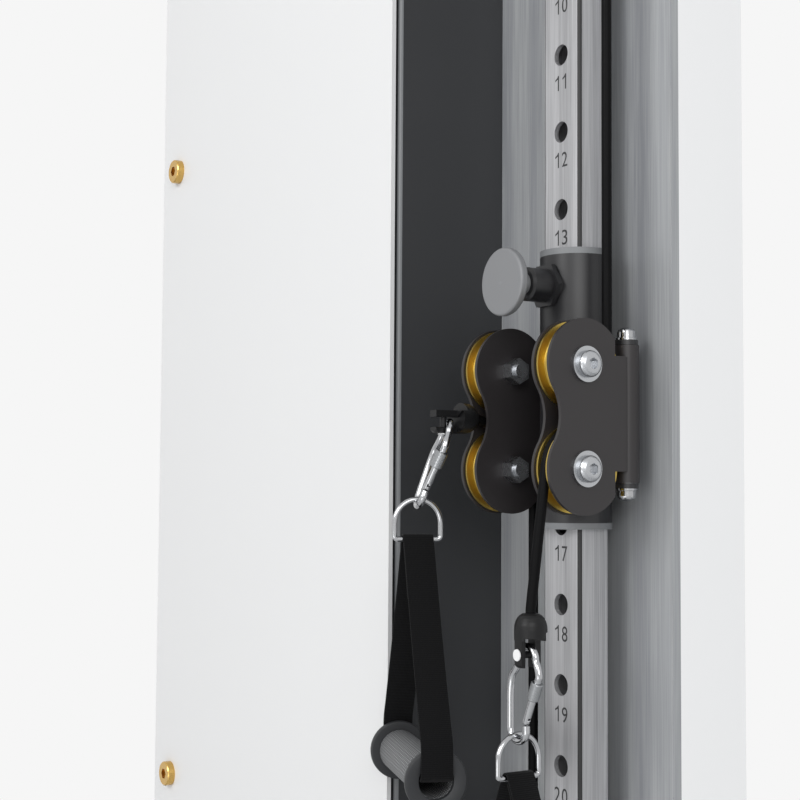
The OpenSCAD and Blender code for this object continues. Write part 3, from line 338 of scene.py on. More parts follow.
@dataclass(frozen=True)
class Moulding(Finish):
    """Moulded plastic or rubber: a spark-eroded skin keeps it matt."""

    grain: float = 0.9 * MM
    depth: float = 0.03 * MM

    def dress(self, paint: Paint) -> None:
        """Add the skin's grain."""
        grain = paint.noise(1 / self.grain, 2.0)
        paint.skin(grain, self.roughness - 0.04, self.roughness + 0.05, self.depth)


@dataclass(frozen=True)
class Knurl(Finish):
    """Rubber sleeve with a diamond pattern: small pyramids catch the light in crossing rows, with painted
    highlights on their tops and painted shade in the grooves.
    """

    pitch: float = 3.2 * MM
    # colour of the painted highlight on the diamonds' tops
    pale: str = "#a2a3a4"
    depth: float = 0.9 * MM

    def dress(self, paint: Paint) -> None:
        """Cross two sets of diagonal waves on the sleeve's own UV map.

        Args:
            paint: The material in the making.
        """
        waves = []
        for turn in (math.radians(45), math.radians(-45)):
            values = {"Vector": paint.sheet(), "Rotation": (0, 0, turn)}
            slant = add_node(paint.tree, "ShaderNodeMapping", values).outputs[0]
            waves.append(paint.wave(slant, self.pitch))
        height = combine(paint.tree, "MULTIPLY", *waves)
        # Painted highlight on the tops and painted shade in the grooves, following the bump's height
        paint.colours(height, (0, 0.8), self.colour, self.pale)
        paint.bump(height, self.depth)


@dataclass(frozen=True)
class Webbing(Finish):
    """Woven polypropylene tape: ribs across the tape and a faint sheen."""

    rib: float = 1.5 * MM
    rows: float = 1.4  # warp rows for each rib
    waver: float = 0.3
    sheen: float = 0.06
    depth: float = 0.25 * MM
    pale: str = "#121213"

    def dress(self, paint: Paint) -> None:
        """Cross ribs and closer warp rows on the tape's own UV map.

        Args:
            paint: The material in the making.
        """
        ribs = paint.wave(paint.sheet(), self.rib, self.waver, bands_direction="X")
        rows = paint.wave(paint.sheet(), self.rib / self.rows, self.waver, bands_direction="Y")
        weave = combine(paint.tree, "MULTIPLY", ribs, rows)
        paint.colours(weave, (0, 0.8), self.colour, self.pale)
        paint.shader.inputs["Sheen Weight"].default_value = self.sheen
        paint.bump(weave, self.depth)


# A pale line is painted down the housing's front corner: a painted highlight along the fold's edge
FOLD_PAINTED_HIGHLIGHT = Patch((129.2 * MM, -194.6 * MM, 0), (1.2 * MM, 2.2 * MM, 2), "#86888a", 0.35)
# The column's deep side is lined white; only a narrow fold of steel shows beside its face
SIDE_LINING = Patch((355.1 * MM, -34.5 * MM, 0), (0.2 * MM, 42.5 * MM, 2), "#fafafa", 0.6)
# The heads of the stoppers' cross pins are lacquered white
PIN_HEADS = (
    Patch((327 * MM, -213.9 * MM, -122.5 * MM), (4.4 * MM, 0.45 * MM, 4.4 * MM), "#e4e4e4", 0.5),
    Patch((233 * MM, -217.5 * MM, 44.1 * MM), (4.4 * MM, 4.4 * MM, 0.45 * MM), "#e4e4e4", 0.5),
)
# A dark line is painted along the rail's rounded front edges: a painted dark reflection that also hides the
# lamps' highlight there
RAIL_EDGE_PAINTED_REFLECTION = tuple(
    Patch((x * MM, -134.0 * MM, 0), (1.4 * MM, 1.7 * MM, 2), "#1a1a1b", 0.6) for x in (258.0, 302.0)
)

# Dark satin paint, whose broad soft highlights let the housing stand back, with a highlight painted down its
# front fold
HOUSING_PAINT = PowderCoat("powder_coated_housing_steel", "#303133", 0.5, patches=(FOLD_PAINTED_HIGHLIGHT,))
FRAME_PAINT = PowderCoat("powder_coated_frame_steel", "#2a2b2d", 0.5)
# Smoother and glossier paint, so each round of the carriage draws a clear highlight
CARRIAGE_PAINT = PowderCoat("powder_coated_carriage_steel", "#1d1d1f", 0.36, depth=0.02 * MM)
BLOCK_PAINT = PowderCoat("powder_coated_block_plate", "#252223", 0.42, depth=0.02 * MM)
# An almost flat white, the brightest broad face in the picture
PANEL_LAMINATE = Moulding("lacquered_panel_sheet", "#dcdcdc", 0.42, depth=0.008 * MM)
# Belt-rubbed sheet, calm and grey, without sharp reflections
COLUMN_STEEL = BrushedSteel(
    "brushed_stainless_column", "#94969a", 0.5, pale="#aeb0b1", metallic=0.35, patches=(SIDE_LINING,)
)
# A finer and brighter rub, which lifts the rail off the column, with a dark reflection painted along its
# front edges
RAIL_STEEL = BrushedSteel(
    "brushed_stainless_rail", "#9c9c9e", 0.42,
    pale="#c0c0c2", scratch=0.9 * MM, metallic=0.6, patches=RAIL_EDGE_PAINTED_REFLECTION,
)
# Dull silver on bolts and springs
ZINC_STEEL = BrightMetal("zinc_plated_fasteners", "#b4b6b9", 0.26)
# Near mirrors on round wire and rods: a white line beside a dark one
CHROME = BrightMetal("chrome_plated_wire", "#b0b1b3", 0.14)
ROD_STEEL = BrightMetal("hard_chromed_guide_rod", "#cfd1d3", 0.14)
# The two warm colours: soft gold wheels and brighter brass
PULLEY_GOLD = BrightMetal("gold_anodised_aluminium", "#c2a857", 0.3)
BRASS = BrightMetal("turned_brass_standoff", "#cda862", 0.24)
# Thick paint on a rough casting, seen only from behind
STACK_IRON = PowderCoat("painted_cast_iron_weight", "#2b2c2e", 0.5, depth=0.06 * MM)
# Blasted grey, which glows evenly without a hard highlight
KNOB_ALUMINIUM = TurnedMetal("bead_blasted_aluminium_knob", "#7f8082", 0.5, metallic=0.35)
# Machined ribs that sparkle beside the smooth wire
SLEEVE_KNURL = TurnedMetal("machined_steel_screw_sleeve", "#9a9c9e", 0.3, pitch=0.7 * MM)
# Deep matt black with one soft highlight
STOPPER_BLACK = Moulding("moulded_black_stopper", "#141415", 0.42, reflection=0.25, patches=PIN_HEADS)
BUSH_NYLON = Moulding("moulded_grey_nylon_bush", "#77797b", 0.5)
# The darkest line in the picture, with hardly any highlight
CABLE_JACKET = Moulding(
    "extruded_black_cable_jacket", "#060607", 0.5, grain=2.5 * MM, depth=0.01 * MM, reflection=0.08
)
# Grey rubber with painted highlights on its diamonds and painted shade in the grooves between them
GRIP_RUBBER = Knurl("knurled_grey_rubber_sleeve", "#48494b", 0.7)
DISC_RUBBER = Moulding("moulded_dark_grip_disc", "#2b2c2e", 0.5, reflection=0.3)
# Black weave that drinks the light, and a thread just lighter than it
STRAP_TAPE = Webbing("woven_black_webbing", "#050506", 0.8, reflection=0.1)
THREAD = Moulding("spun_black_sewing_thread", "#1c1c1e", 0.7, grain=0.5 * MM)
# Soft black print on the rail
PRINT_INK = Moulding("screen_printed_black_ink", "#2a2a2b", 0.6)


# Surfaces


def place_in_scene(name: str, data: bpy.types.ID) -> Piece:
    """Put data into the scene as an object at the origin.

    Args:
        name: The object's name.
        data: Its mesh, curve, lamp or camera.

    Returns:
        The object.
    """
    piece = bpy.data.objects.new(name, data)
    bpy.context.collection.objects.link(piece)
    return piece


def vertices(mesh: bpy.types.Mesh) -> np.ndarray:
    """Read a mesh's vertices.

    Args:
        mesh: The mesh.

    Returns:
        Their places, one row each.
    """
    co = np.zeros(len(mesh.vertices) * 3)
    mesh.vertices.foreach_get("co", co)
    return co.reshape(-1, 3)


def revolve(profile: np.ndarray, origin: np.ndarray, axis: np.ndarray, steps: int = 64) -> np.ndarray:
    """Turn a profile about an axis: each point is origin + height along the axis + radius round it.

    Args:
        profile: Rows of radius and height.
        origin: Where height is 0.
        axis: Direction of the axis.
        steps: Points on each ring.

    Returns:
        Rings of points, one ring for each row of the profile.
    """
    axis = axis / np.linalg.norm(axis)
    u = np.cross(axis, (0.3, 0.2, 1.0) if abs(axis[2]) < 0.8 else (1.0, 0.0, 0.0))
    u = u / np.linalg.norm(u)
    v = np.cross(axis, u)
    angle = np.linspace(0, 2 * math.pi, steps, endpoint=False)
    ring = np.cos(angle)[:, None] * u + np.sin(angle)[:, None] * v
    return origin + profile[:, 1, None, None] * axis + profile[:, 0, None, None] * ring


def carry(path: np.ndarray, profile: np.ndarray, side: np.ndarray, closed: bool = False) -> np.ndarray:
    """Carry a flat profile along a path that lies in one plane.

    At each point the profile stands square to the path: its first coordinate runs along side x direction,
    its second along side, which is the normal of the path's plane.

    Args:
        path: Points of the middle line.
        profile: Rows of the profile's two coordinates.
        side: Normal of the path's plane.
        closed: Whether the path is a loop.

    Returns:
        One ring of points for each point of the path.
    """
    if closed:
        way = np.roll(path, -1, axis=0) - np.roll(path, 1, axis=0)
    else:
        way = np.gradient(path, axis=0)
    way = way / np.linalg.norm(way, axis=1, keepdims=True)
    across = np.cross(side, way)
    return path[:, None] + profile[None, :, 0, None] * across[:, None] + profile[None, :, 1, None] * side


def circle(radius: float, sides: int = 20) -> np.ndarray:
    """Return the points of a round profile."""
    angle = np.linspace(0, 2 * math.pi, sides, endpoint=False)
    return radius * np.column_stack((np.cos(angle), np.sin(angle)))


def tape(width: float, thickness: float, steps: int = 5) -> np.ndarray:
    """Draw a flat tape's profile with half-round edges.

    Args:
        width: Its width, which is the profile's second coordinate.
        thickness: Its thickness, which is the first.
        steps: Points on each edge.

    Returns:
        The points of the profile.
    """
    r = thickness / 2
    angle = np.linspace(0, math.pi, steps)
    top = np.column_stack((r * np.cos(angle), width / 2 - r + r * np.sin(angle)))
    return np.vstack((top, -top))


def smooth(points: np.ndarray, step: float, closed: bool = False) -> np.ndarray:
    """Pass a Catmull-Rom curve through points.

    Args:
        points: The points, one row each.
        step: Distance in metres between the curve's samples, on average.
        closed: Whether the curve is a loop.

    Returns:
        The samples, one row each.
    """
    p = np.asarray(points, float)
    before = np.vstack((p[-1:] if closed else 2 * p[:1] - p[1:2], p))
    ends = p[:2] if closed else (2 * p[-1:] - p[-2:-1])
    q = np.vstack((before, ends))
    spans = len(p) if closed else len(p) - 1
    count = max(2, int(round(np.linalg.norm(np.diff(p, axis=0), axis=1).mean() / step)))
    t = np.linspace(0, 1, count, endpoint=False)[None, :, None]
    a, b, c, d = (q[k : k + spans, None] for k in range(4))
    curve = 0.5 * (2 * b + (c - a) * t + (2 * a - 5 * b + 4 * c - d) * t**2 + (3 * b - a - 3 * c + d) * t**3)
    curve = curve.reshape(-1, 3)
    return curve if closed else np.vstack((curve, p[-1:]))


def surface(name: str, rings: np.ndarray, finish: Finish, loop: bool = False, caps: bool = True) -> Piece:
    """Make a mesh of a grid of rings, with a UV map in metres along the rings and round them.

    Args:
        name: Name of the piece.
        rings: Rings of points; each ring closes on itself.
        finish: The piece's finish.
        loop: Whether the last ring joins the first.
        caps: Whether an open row of rings gets a face at each end.

    Returns:
        The new object, at the origin.
    """
    n, m = rings.shape[:2]
    i, k = np.meshgrid(np.arange(n if loop else n - 1), np.arange(m), indexing="ij")
    nxt, beside = (i + 1) % n, (k + 1) % m
    quads = np.stack((i * m + k, i * m + beside, nxt * m + beside, nxt * m + k), axis=-1).reshape(-1, 4)
    faces = quads.tolist()
    if caps and not loop:
        faces += [list(range(m - 1, -1, -1)), list(range((n - 1) * m, n * m))]
    mesh = bpy.data.meshes.new(name)
    mesh.from_pydata(rings.reshape(-1, 3).tolist(), [], faces)
    along = np.concatenate(([0], np.cumsum(np.linalg.norm(np.diff(rings.mean(axis=1), axis=0), axis=1))))
    closing = np.linalg.norm(rings[0].mean(axis=0) - rings[-1].mean(axis=0))
    round_it = np.concatenate(([0], np.cumsum(np.linalg.norm(np.diff(rings, axis=1), axis=2).max(axis=0))))
    last = np.linalg.norm(rings[:, 0] - rings[:, -1], axis=1).max()
    rows = np.append(along, along[-1] + closing)
    columns = np.append(round_it, round_it[-1] + last)
    corners = np.stack(
        (
            np.stack((rows[i], columns[k]), -1),
            np.stack((rows[i], columns[k + 1]), -1),
            np.stack((rows[i + 1], columns[k + 1]), -1),
            np.stack((rows[i + 1], columns[k]), -1),
        ),
        axis=2,
    ).reshape(-1, 2)
    uv = np.zeros((len(mesh.loops), 2), np.float32)
    uv[: len(corners)] = corners
    mesh.uv_layers.new(name="UVMap").data.foreach_set("uv", uv.ravel())
    mesh.shade_smooth()
    mesh.set_sharp_from_angle(angle=SHARP_EDGE)
    mesh.materials.append(finish.build())
    return outward(place_in_scene(name, mesh))


def outward(piece: Piece) -> Piece:
    """Turn a closed piece's faces outwards where its volume comes out negative.

    Six times the volume is the sum of a . (b x c) over the triangles.

    Args:
        piece: The piece, whose mesh is mended in place.

    Returns:
        The same piece.
    """
    mesh = piece.data
    mesh.calc_loop_triangles()
    tri = np.zeros(len(mesh.loop_triangles) * 3, np.int32)
    mesh.loop_triangles.foreach_get("vertices", tri)
    a, b, c = vertices(mesh)[tri.reshape(-1, 3)].transpose(1, 0, 2)
    if np.einsum("ij,ij->i", a, np.cross(b, c)).sum() < 0:
        mesh.flip_normals()
    return piece


def merged(name: str, parts: list[Piece]) -> Piece:
    """Join several pieces into the first one.

    Args:
        name: The joined piece's name.
        parts: The pieces, of which only the first stays.

    Returns:
        The joined piece.
    """
    if len(parts) > 1:
        with bpy.context.temp_override(active_object=parts[0], selected_editable_objects=parts):
            bpy.ops.object.join()
    parts[0].name = name
    parts[0].data.name = name
    return parts[0]


def arc(
    centre: Point, radius: float, u: np.ndarray, v: np.ndarray, start: float, end: float, step: float = 7.0
) -> np.ndarray:
    """Draw an arc: centre + radius * (cos a * u + sin a * v) for a from start to end.

    Args:
        centre: Its middle.
        radius: Its radius.
        u: Unit direction at 0 degrees.
        v: Unit direction at 90 degrees.
        start: First angle, in degrees.
        end: Last angle, in degrees.
        step: Angle between its points, about.

    Returns:
        Its points, one row each.
    """
    angle = np.radians(np.linspace(start, end, max(2, int(abs(end - start) / step) + 1)))
    turn = np.cos(angle)[:, None] * np.asarray(u, float) + np.sin(angle)[:, None] * np.asarray(v, float)
    return np.asarray(centre, float) + radius * turn


def dress_nodes(finish: Finish, *nodes: str) -> None:
    """Give CAD nodes a finish by their material slots.

    Args:
        finish: The finish.
        nodes: Names of the nodes.
    """
    for name in nodes:
        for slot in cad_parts[name].material_slots:
            slot.material = finish.build()


def stand_for(piece: Piece, node: str, body: str) -> None:
    """Let a piece take a CAD node's place on a body and report it.

    Args:
        piece: The piece.
        node: The CAD node that it stands for.
        body: The body that it moves with.
    """
    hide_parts(node)
    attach(piece, body)
    log.info("%s stands for %s on %s", piece.name, node, body)


def stretch(piece: Piece, node: str, bodies: tuple[str, str], start: np.ndarray, end: np.ndarray) -> None:
    """Let a piece take a CAD node's place between two bodies, with its transform baked into its mesh, and
    report it.

    Args:
        piece: The stretch of cable.
        node: The CAD node that it stands for.
        bodies: The body that it hangs from and the body that it runs to; they are only reported.
        start: Where it begins to follow the second body; not used.
        end: Where it follows the second body altogether; not used.
    """
    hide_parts(node)
    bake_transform(piece)
    log.info("%s stands for %s from %s to %s", piece.name, node, *bodies)


def add_to(piece: Piece, body: str) -> None:
    """Let a piece that stands for no CAD node ride on a body and report it."""
    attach(piece, body)
    log.info("%s rides on %s", piece.name, body)


# Sub-assemblies


@dataclass
class Structure:
    """The wall frame, the housing, the column, the rail and the stack, with the hole numbers on the rail.

    Hole 1 is the highest, and each number is printed digit_drop below the middle of its hole.
    """

    rail_x: float = 280 * MM
    rail_front: float = -135.25 * MM
    first_hole: float = 988.5 * MM
    hole_pitch: float = 63.5 * MM
    hole_count: int = 26
    digit_height: float = 12.5 * MM
    digit_share: float = 0.72  # a digit's height as a share of its letter size
    digit_drop: float = 29 * MM
    digit_width: float = 6.9 * MM
    digit_pitch: float = 9.3 * MM
    ink: float = 0.04 * MM
    flagged_one: tuple[tuple[float, float], ...] = (
        (0.04, 0), (0.15, 0), (0.15, 1), (0.07, 1),
        (-0.03, 0.87), (-0.22, 0.77), (-0.22, 0.65), (0.04, 0.78),
    )  # outline of a 1 with a flag, for a height of 1

    def dress(self) -> None:
        """Give the CAD nodes their finishes."""
        dress_nodes(FRAME_PAINT, "back_frame", "end_channels")
        dress_nodes(HOUSING_PAINT, "housing_shell", "end_caps")
        dress_nodes(PANEL_LAMINATE, "front_panel")
        dress_nodes(BRASS, "panel_standoffs")
        dress_nodes(COLUMN_STEEL, "column_cladding")
        dress_nodes(RAIL_STEEL, "rail")
        dress_nodes(ZINC_STEEL, "guide_axles", "selector_stem", "stack_hanger", "selector_pin")
        dress_nodes(ROD_STEEL, "guide_rods")
        dress_nodes(STACK_IRON, "weight_plates", "head_plate")
        wheels = ("top_pulley_outer", "top_pulley_inner", "top_pulley_return", "base_pulley_outer")
        dress_nodes(PULLEY_GOLD, *wheels, "base_pulley_inner", "stack_pulley")

    def digit(self, char: str) -> Piece:
        """Draw one digit upright in the XY plane, its foot on the line and its middle at x = 0.

        Args:
            char: The digit.

        Returns:
            The digit as a thin piece.
        """
        if char == "1":
            flat = np.array(self.flagged_one) * self.digit_height
            rings = np.stack([np.column_stack((flat, np.full(len(flat), z))) for z in (-self.ink, self.ink)])
            return surface("digit", rings, PRINT_INK)
        curve = bpy.data.curves.new("digit", "FONT")
        curve.body = char
        curve.size = self.digit_height / self.digit_share
        curve.extrude = self.ink
        text = place_in_scene("digit", curve)
        bpy.context.view_layer.update()
        mesh = bpy.data.meshes.new_from_object(text)
        bpy.data.objects.remove(text)
        x = vertices(mesh)[:, 0]
        wide = Matrix.Diagonal((self.digit_width / (x.max() - x.min()), 1, 1, 1))
        mesh.transform(wide @ Matrix.Translation((-(x.max() + x.min()) / 2, 0, 0)))
        mesh.materials.clear()
        mesh.materials.append(PRINT_INK.build())
        return place_in_scene("digit", mesh)

    def number(self, index: int) -> Piece:
        """Print one hole's number below it on the rail's front face.

        Args:
            index: The hole, from 0 at the top.

        Returns:
            The number as one piece.
        """
        text = str(index + 1)
        height = self.first_hole - index * self.hole_pitch - self.digit_drop
        digits = []
        for i, char in enumerate(text):
            shift = (i - (len(text) - 1) / 2) * self.digit_pitch
            place = Matrix.Translation((self.rail_x + shift, self.rail_front - self.ink, height))
            digits.append(self.digit(char))
            digits[-1].data.transform(place @ Matrix.Rotation(math.radians(90), 4, "X"))
        return merged(f"number_{text}", digits)

    def build(self) -> None:
        """Dress the structure and print the numbers."""
        self.dress()
        add_to(merged("rail_numbers", [self.number(i) for i in range(self.hole_count)]), "frame")


@dataclass
class Carriage:
    """The sleeve with its plunger and the two pulley blocks."""

    def build(self) -> None:
        """Give the carriage's nodes their finishes."""
        dress_nodes(CARRIAGE_PAINT, "carriage_sleeve", "plunger_barrel")
        dress_nodes(BUSH_NYLON, "sleeve_bushes")
        dress_nodes(CHROME, "hinge_pins", "plunger_pin")
        dress_nodes(ZINC_STEEL, "plunger_spring")
        dress_nodes(KNOB_ALUMINIUM, "plunger_knob")
        for side in Side:
            dress_nodes(BLOCK_PAINT, f"block_plates_{side.word}", f"block_yoke_{side.word}")
            dress_nodes(ZINC_STEEL, f"block_bolts_{side.word}")
            dress_nodes(PULLEY_GOLD, f"pulley_upper_{side.word}", f"pulley_lower_{side.word}")
            dress_nodes(STOPPER_BLACK, f"stopper_{side.word}")
        log.info("carriage and blocks dressed")


@dataclass
class Cables:
    """The one cable on its route over every pulley, in the stretches that the CAD nodes hold.

    The pulleys turn in the plane y = plane, and those of the blocks in the planes x = right and x = left.
    """

    radius: float = 4 * MM
    plane: float = -127 * MM
    small: float = 30 * MM  # radius of the cable's middle line on a small pulley
    large: float = 57.5 * MM  # and on the large return pulley
    head: float = 1050 * MM  # height of the top pulleys, and depth of the base pulleys
    large_height: float = 1022.5 * MM
    top_outer: float = 297 * MM
    top_inner: float = -47 * MM
    top_return: float = -194.5 * MM
    base_outer: float = 203 * MM
    base_inner: float = -222 * MM
    stack: float = -440 * MM  # height of the stack's pulley
    stack_x: float = -107 * MM
    right: float = 327 * MM
    left: float = 233 * MM
    axle_y: float = -157 * MM
    upper: float = 96 * MM
    lower: float = 16 * MM
    mouth_right: Point = (327 * MM, -201 * MM, -92 * MM)  # where the cable enters each stopper
    mouth_left: Point = (233 * MM, -187 * MM, 57 * MM)
    lead_right: Point = (0, 0, 3 * MM)  # from each mouth back along the cable
    lead_left: Point = (0, 6 * MM, -1 * MM)
    stub: float = 0.3 * MM  # straight bit at the end of a stretch round a pulley
    joint: float = 0.32 * MM  # where the next stretch begins

    def tube(self, name: str, *paths: tuple[np.ndarray, np.ndarray]) -> Piece:
        """Lay round tubes along flat paths.

        Args:
            name: Name of the piece.
            paths: Each path with the normal of its plane.

        Returns:
            The tubes as one piece.
        """
        tubes = [
            surface(f"{name}_{i}", carry(path, circle(self.radius), side), CABLE_JACKET)
            for i, (path, side) in enumerate(paths)
        ]
        return merged(name, tubes) if len(tubes) > 1 else tubes[0]

    def run(self, name: str, node: str, body: str, *paths: tuple[np.ndarray, np.ndarray]) -> None:
        """Lay one cable node that keeps its length: its name, its node, its body and its paths."""
        stand_for(self.tube(name, *paths), node, body)

    def build(self) -> None:
        """Lay every stretch."""
        self.upright()
        self.pulleys()
        self.wraps()

    def upright(self) -> None:
        """Lay the upright stretches, which grow as the carriage and the stack move."""
        y, joint, head = self.plane, self.joint, self.head
        near_x, far_x = self.stack_x + self.small, self.stack_x - self.small
        down = np.array([(self.right, y, head - joint), (self.right, y, self.upper + joint)])
        stretch(self.tube("cable_down", (down, Y)), "cable_upper_run", ("frame", "carriage"), *down)
        up = np.array([(self.left, y, joint - head), (self.left, y, self.lower - joint)])
        stretch(self.tube("cable_up", (up, Y)), "cable_lower_run", ("frame", "carriage"), *up)
        near = np.array([(near_x, y, head - joint), (near_x, y, self.stack + joint)])
        far = np.array([(far_x, y, self.large_height - joint), (far_x, y, self.stack + joint)])
        pair = self.tube("cable_strand_pair", (near, Y), (far, Y))
        stretch(pair, "cable_strands", ("frame", "stack"), *far)

    def pulleys(self) -> None:
        """Lay the stretches round the stack's pulley and round the fixed pulleys."""
        y, r, stub, head, big = self.plane, self.small, self.stub, self.head, self.large_height
        near_x, far_x = self.stack_x + r, self.stack_x - r
        under = np.vstack((
            (near_x, y, self.stack + stub),
            arc((self.stack_x, y, self.stack), r, X, Z, 0, -180),
            (far_x, y, self.stack + stub),
        ))
        self.run("cable_round_stack", "cable_stack_wrap", "stack", (under, Y))
        over = np.vstack((
            (self.right, y, head - stub),
            arc((self.top_outer, y, head), r, X, Z, 0, 90),
            arc((self.top_inner, y, head), r, X, Z, 90, 180),
            (near_x, y, head - stub),
        ))
        back = np.vstack((
            (far_x, y, big - stub),
            arc((self.top_return, y, big), self.large, X, Z, 0, 180),
            arc((self.base_inner, y, -head), r, X, Z, 180, 270),
            arc((self.base_outer, y, -head), r, X, Z, 270, 360),
            (self.left, y, stub - head),
        ))
        self.run("cable_in_housing", "cable_housing", "frame", (over, Y), (back, Y))

    def wraps(self) -> None:
        """Lay the stretches in the two blocks and the stretch that hangs from the right one.

        Between the right block's two wheels the cable crosses over, and the sine of its slant is
        2 * radius / distance of the axles.
        """
        r, behind = self.small, self.axle_y + self.small
        cross = math.degrees(math.asin(2 * r / (self.upper - self.lower)))
        mouth = np.array(self.mouth_right)
        lead = mouth + self.lead_right
        top = arc((self.right, self.axle_y, self.upper), r, Y, Z, 0, -cross)
        low = arc((self.right, self.axle_y, self.lower), r, Y, Z, 180 - cross, self.leave(lead))
        way = (lead - low[-1]) / np.linalg.norm(lead - low[-1])
        start = (self.right, behind, self.upper + self.stub)
        path = np.vstack((start, top, low, low[-1] + way * self.stub))
        self.run("cable_through_right", "cable_wrap_right", "block_right", (path, X))
        path = np.vstack((low[-1] + way * self.joint, lead, mouth))
        hanging = self.tube("cable_hanging", (path, X))
        stretch(hanging, "cable_end_right", ("block_right", "end_right"), path[0], lead)
        end = np.array(self.mouth_left)
        near = end + self.lead_left
        rise = arc((self.left, self.axle_y, self.lower), r, Y, Z, 0, self.leave(near))
        start = (self.left, behind, self.lower - self.stub)
        path = np.vstack((start, rise, near, end + (0, 2 * MM, 0), end))
        through = self.tube("cable_through_left", (path, X))
        stretch(through, "cable_wrap_left", ("block_left", "end_left"), rise[-1], near)

    def leave(self, point: np.ndarray) -> float:
        """Find where a cable leaves a lower pulley for a point in front of it.

        The line from the point touches the wheel at the point's bearing less acos(radius / distance).

        Args:
            point: The point, in the frame.

        Returns:
            The angle round the pulley, in degrees from +Y towards +Z.
        """
        dy, dz = point[1] - self.axle_y, point[2] - self.lower
        bearing = math.degrees(math.atan2(dz, dy)) % 360
        return bearing - math.degrees(math.acos(self.small / math.hypot(dy, dz)))


@dataclass(frozen=True)
class Hang:
    """Where a hook hangs: the middle of the wire over the cross pin, and its turns about Z and X."""

    top: Point
    yaw: float = 0.0
    lean: float = 0.0


HANGS = {
    Side.RIGHT: Hang((327 * MM, -204 * MM, -116.4 * MM)),
    Side.LEFT: Hang((233 * MM, -211.4 * MM, 54 * MM), math.radians(-20.7), math.radians(-19)),
}


@dataclass
class Placed(ABC):
    """A sub-assembly that is made in axes of its own and then moved into the frame."""

    side: Side

    @property
    @abstractmethod
    def place(self) -> Matrix:
        """Return the sub-assembly's own axes in the frame."""

    def put(self, piece: Piece) -> Piece:
        """Move a piece from the sub-assembly's own axes into the frame, in its mesh, and return it."""
        piece.data.transform(self.place)
        return piece


@dataclass
class Hook(Placed):
    """A screw-gate carabiner bent from round wire, hung from the stopper's cross pin.

    Its own axes are u across it, v through it and w up, from the middle of its top bend.
    """

    wire: float = 2.8 * MM
    nose: float = 10 * MM  # radius of the top bend
    spine: float = -21 * MM
    length: float = 77 * MM
    end_radius: float = 10 * MM
    hinge: tuple[float, float] = (-1.5 * MM, -46 * MM)
    tongue: float = 2 * MM
    eye: float = 2.4 * MM
    pin: float = 0.9 * MM
    step: float = 1.2 * MM  # between the samples of the wire

    @property
    def place(self) -> Matrix:
        """Place the hook by where and how it hangs.

        Returns:
            Its own axes in the frame.
        """
        hang = HANGS[self.side]
        turned = Matrix.Rotation(hang.yaw, 4, "Z") @ Matrix.Rotation(hang.lean, 4, "X")
        return Matrix.Translation(hang.top) @ turned @ Matrix.Translation((0, 0, -self.nose))

    @property
    def end_centre(self) -> tuple[float, float]:
        """Return the centre of the lowest bend, as u and w."""
        return self.spine + self.end_radius, self.nose + 2 * self.wire + self.end_radius - self.length

    def path(self) -> np.ndarray:
        """Draw the middle line of the wire from the gate's nose over the top and down the spine to the hinge.

        Returns:
            Its points in the hook's own axes, one row each.
        """
        u, w = self.end_centre
        over = np.radians(np.arange(0, 181, 15))
        under = np.radians(np.arange(180, 346, 15))
        flat = np.vstack((
            np.array([(13.5, -13), (14.0, -11.9), (13.9, -9), (12.4, -4.5)]) * MM,
            self.nose * np.column_stack((np.cos(over), np.sin(over))),
            np.array([(-11.2, -4.2), (-14.6, -8.6), (-19, -14)]) * MM,
            [(self.spine, w * share) for share in (0.5, 0.75)],
            (u, w) + self.end_radius * np.column_stack((np.cos(under), np.sin(under))),
            (self.hinge[0], self.hinge[1] - 3 * MM),
        ))
        return smooth(np.column_stack((flat[:, 0], np.zeros(len(flat)), flat[:, 1])), self.step)

    def build(self) -> None:
        """Bend the body and finish the gate and its screw sleeve."""
        word = self.side.word
        body = surface(f"hook_body_{word}", carry(self.path(), circle(self.wire), Y), CHROME)
        hinge = np.array((self.hinge[0], 0, self.hinge[1]))
        eye = np.array([(0, -0.5), (1, -0.5), (1, 0.5), (0, 0.5)])
        knuckle = surface("knuckle", revolve(eye * (self.eye, self.tongue), hinge, Y, 32), CHROME)
        pin = surface("pin", revolve(eye * (self.pin, 2 * self.wire - 0.4 * MM), hinge, Y, 24), CHROME)
        stand_for(self.put(merged(body.name, [body, knuckle, pin])), f"carabiner_{word}", f"hook_{word}")
        dress_nodes(CHROME, f"carabiner_gate_{word}")
        dress_nodes(SLEEVE_KNURL, f"screw_sleeve_{word}")


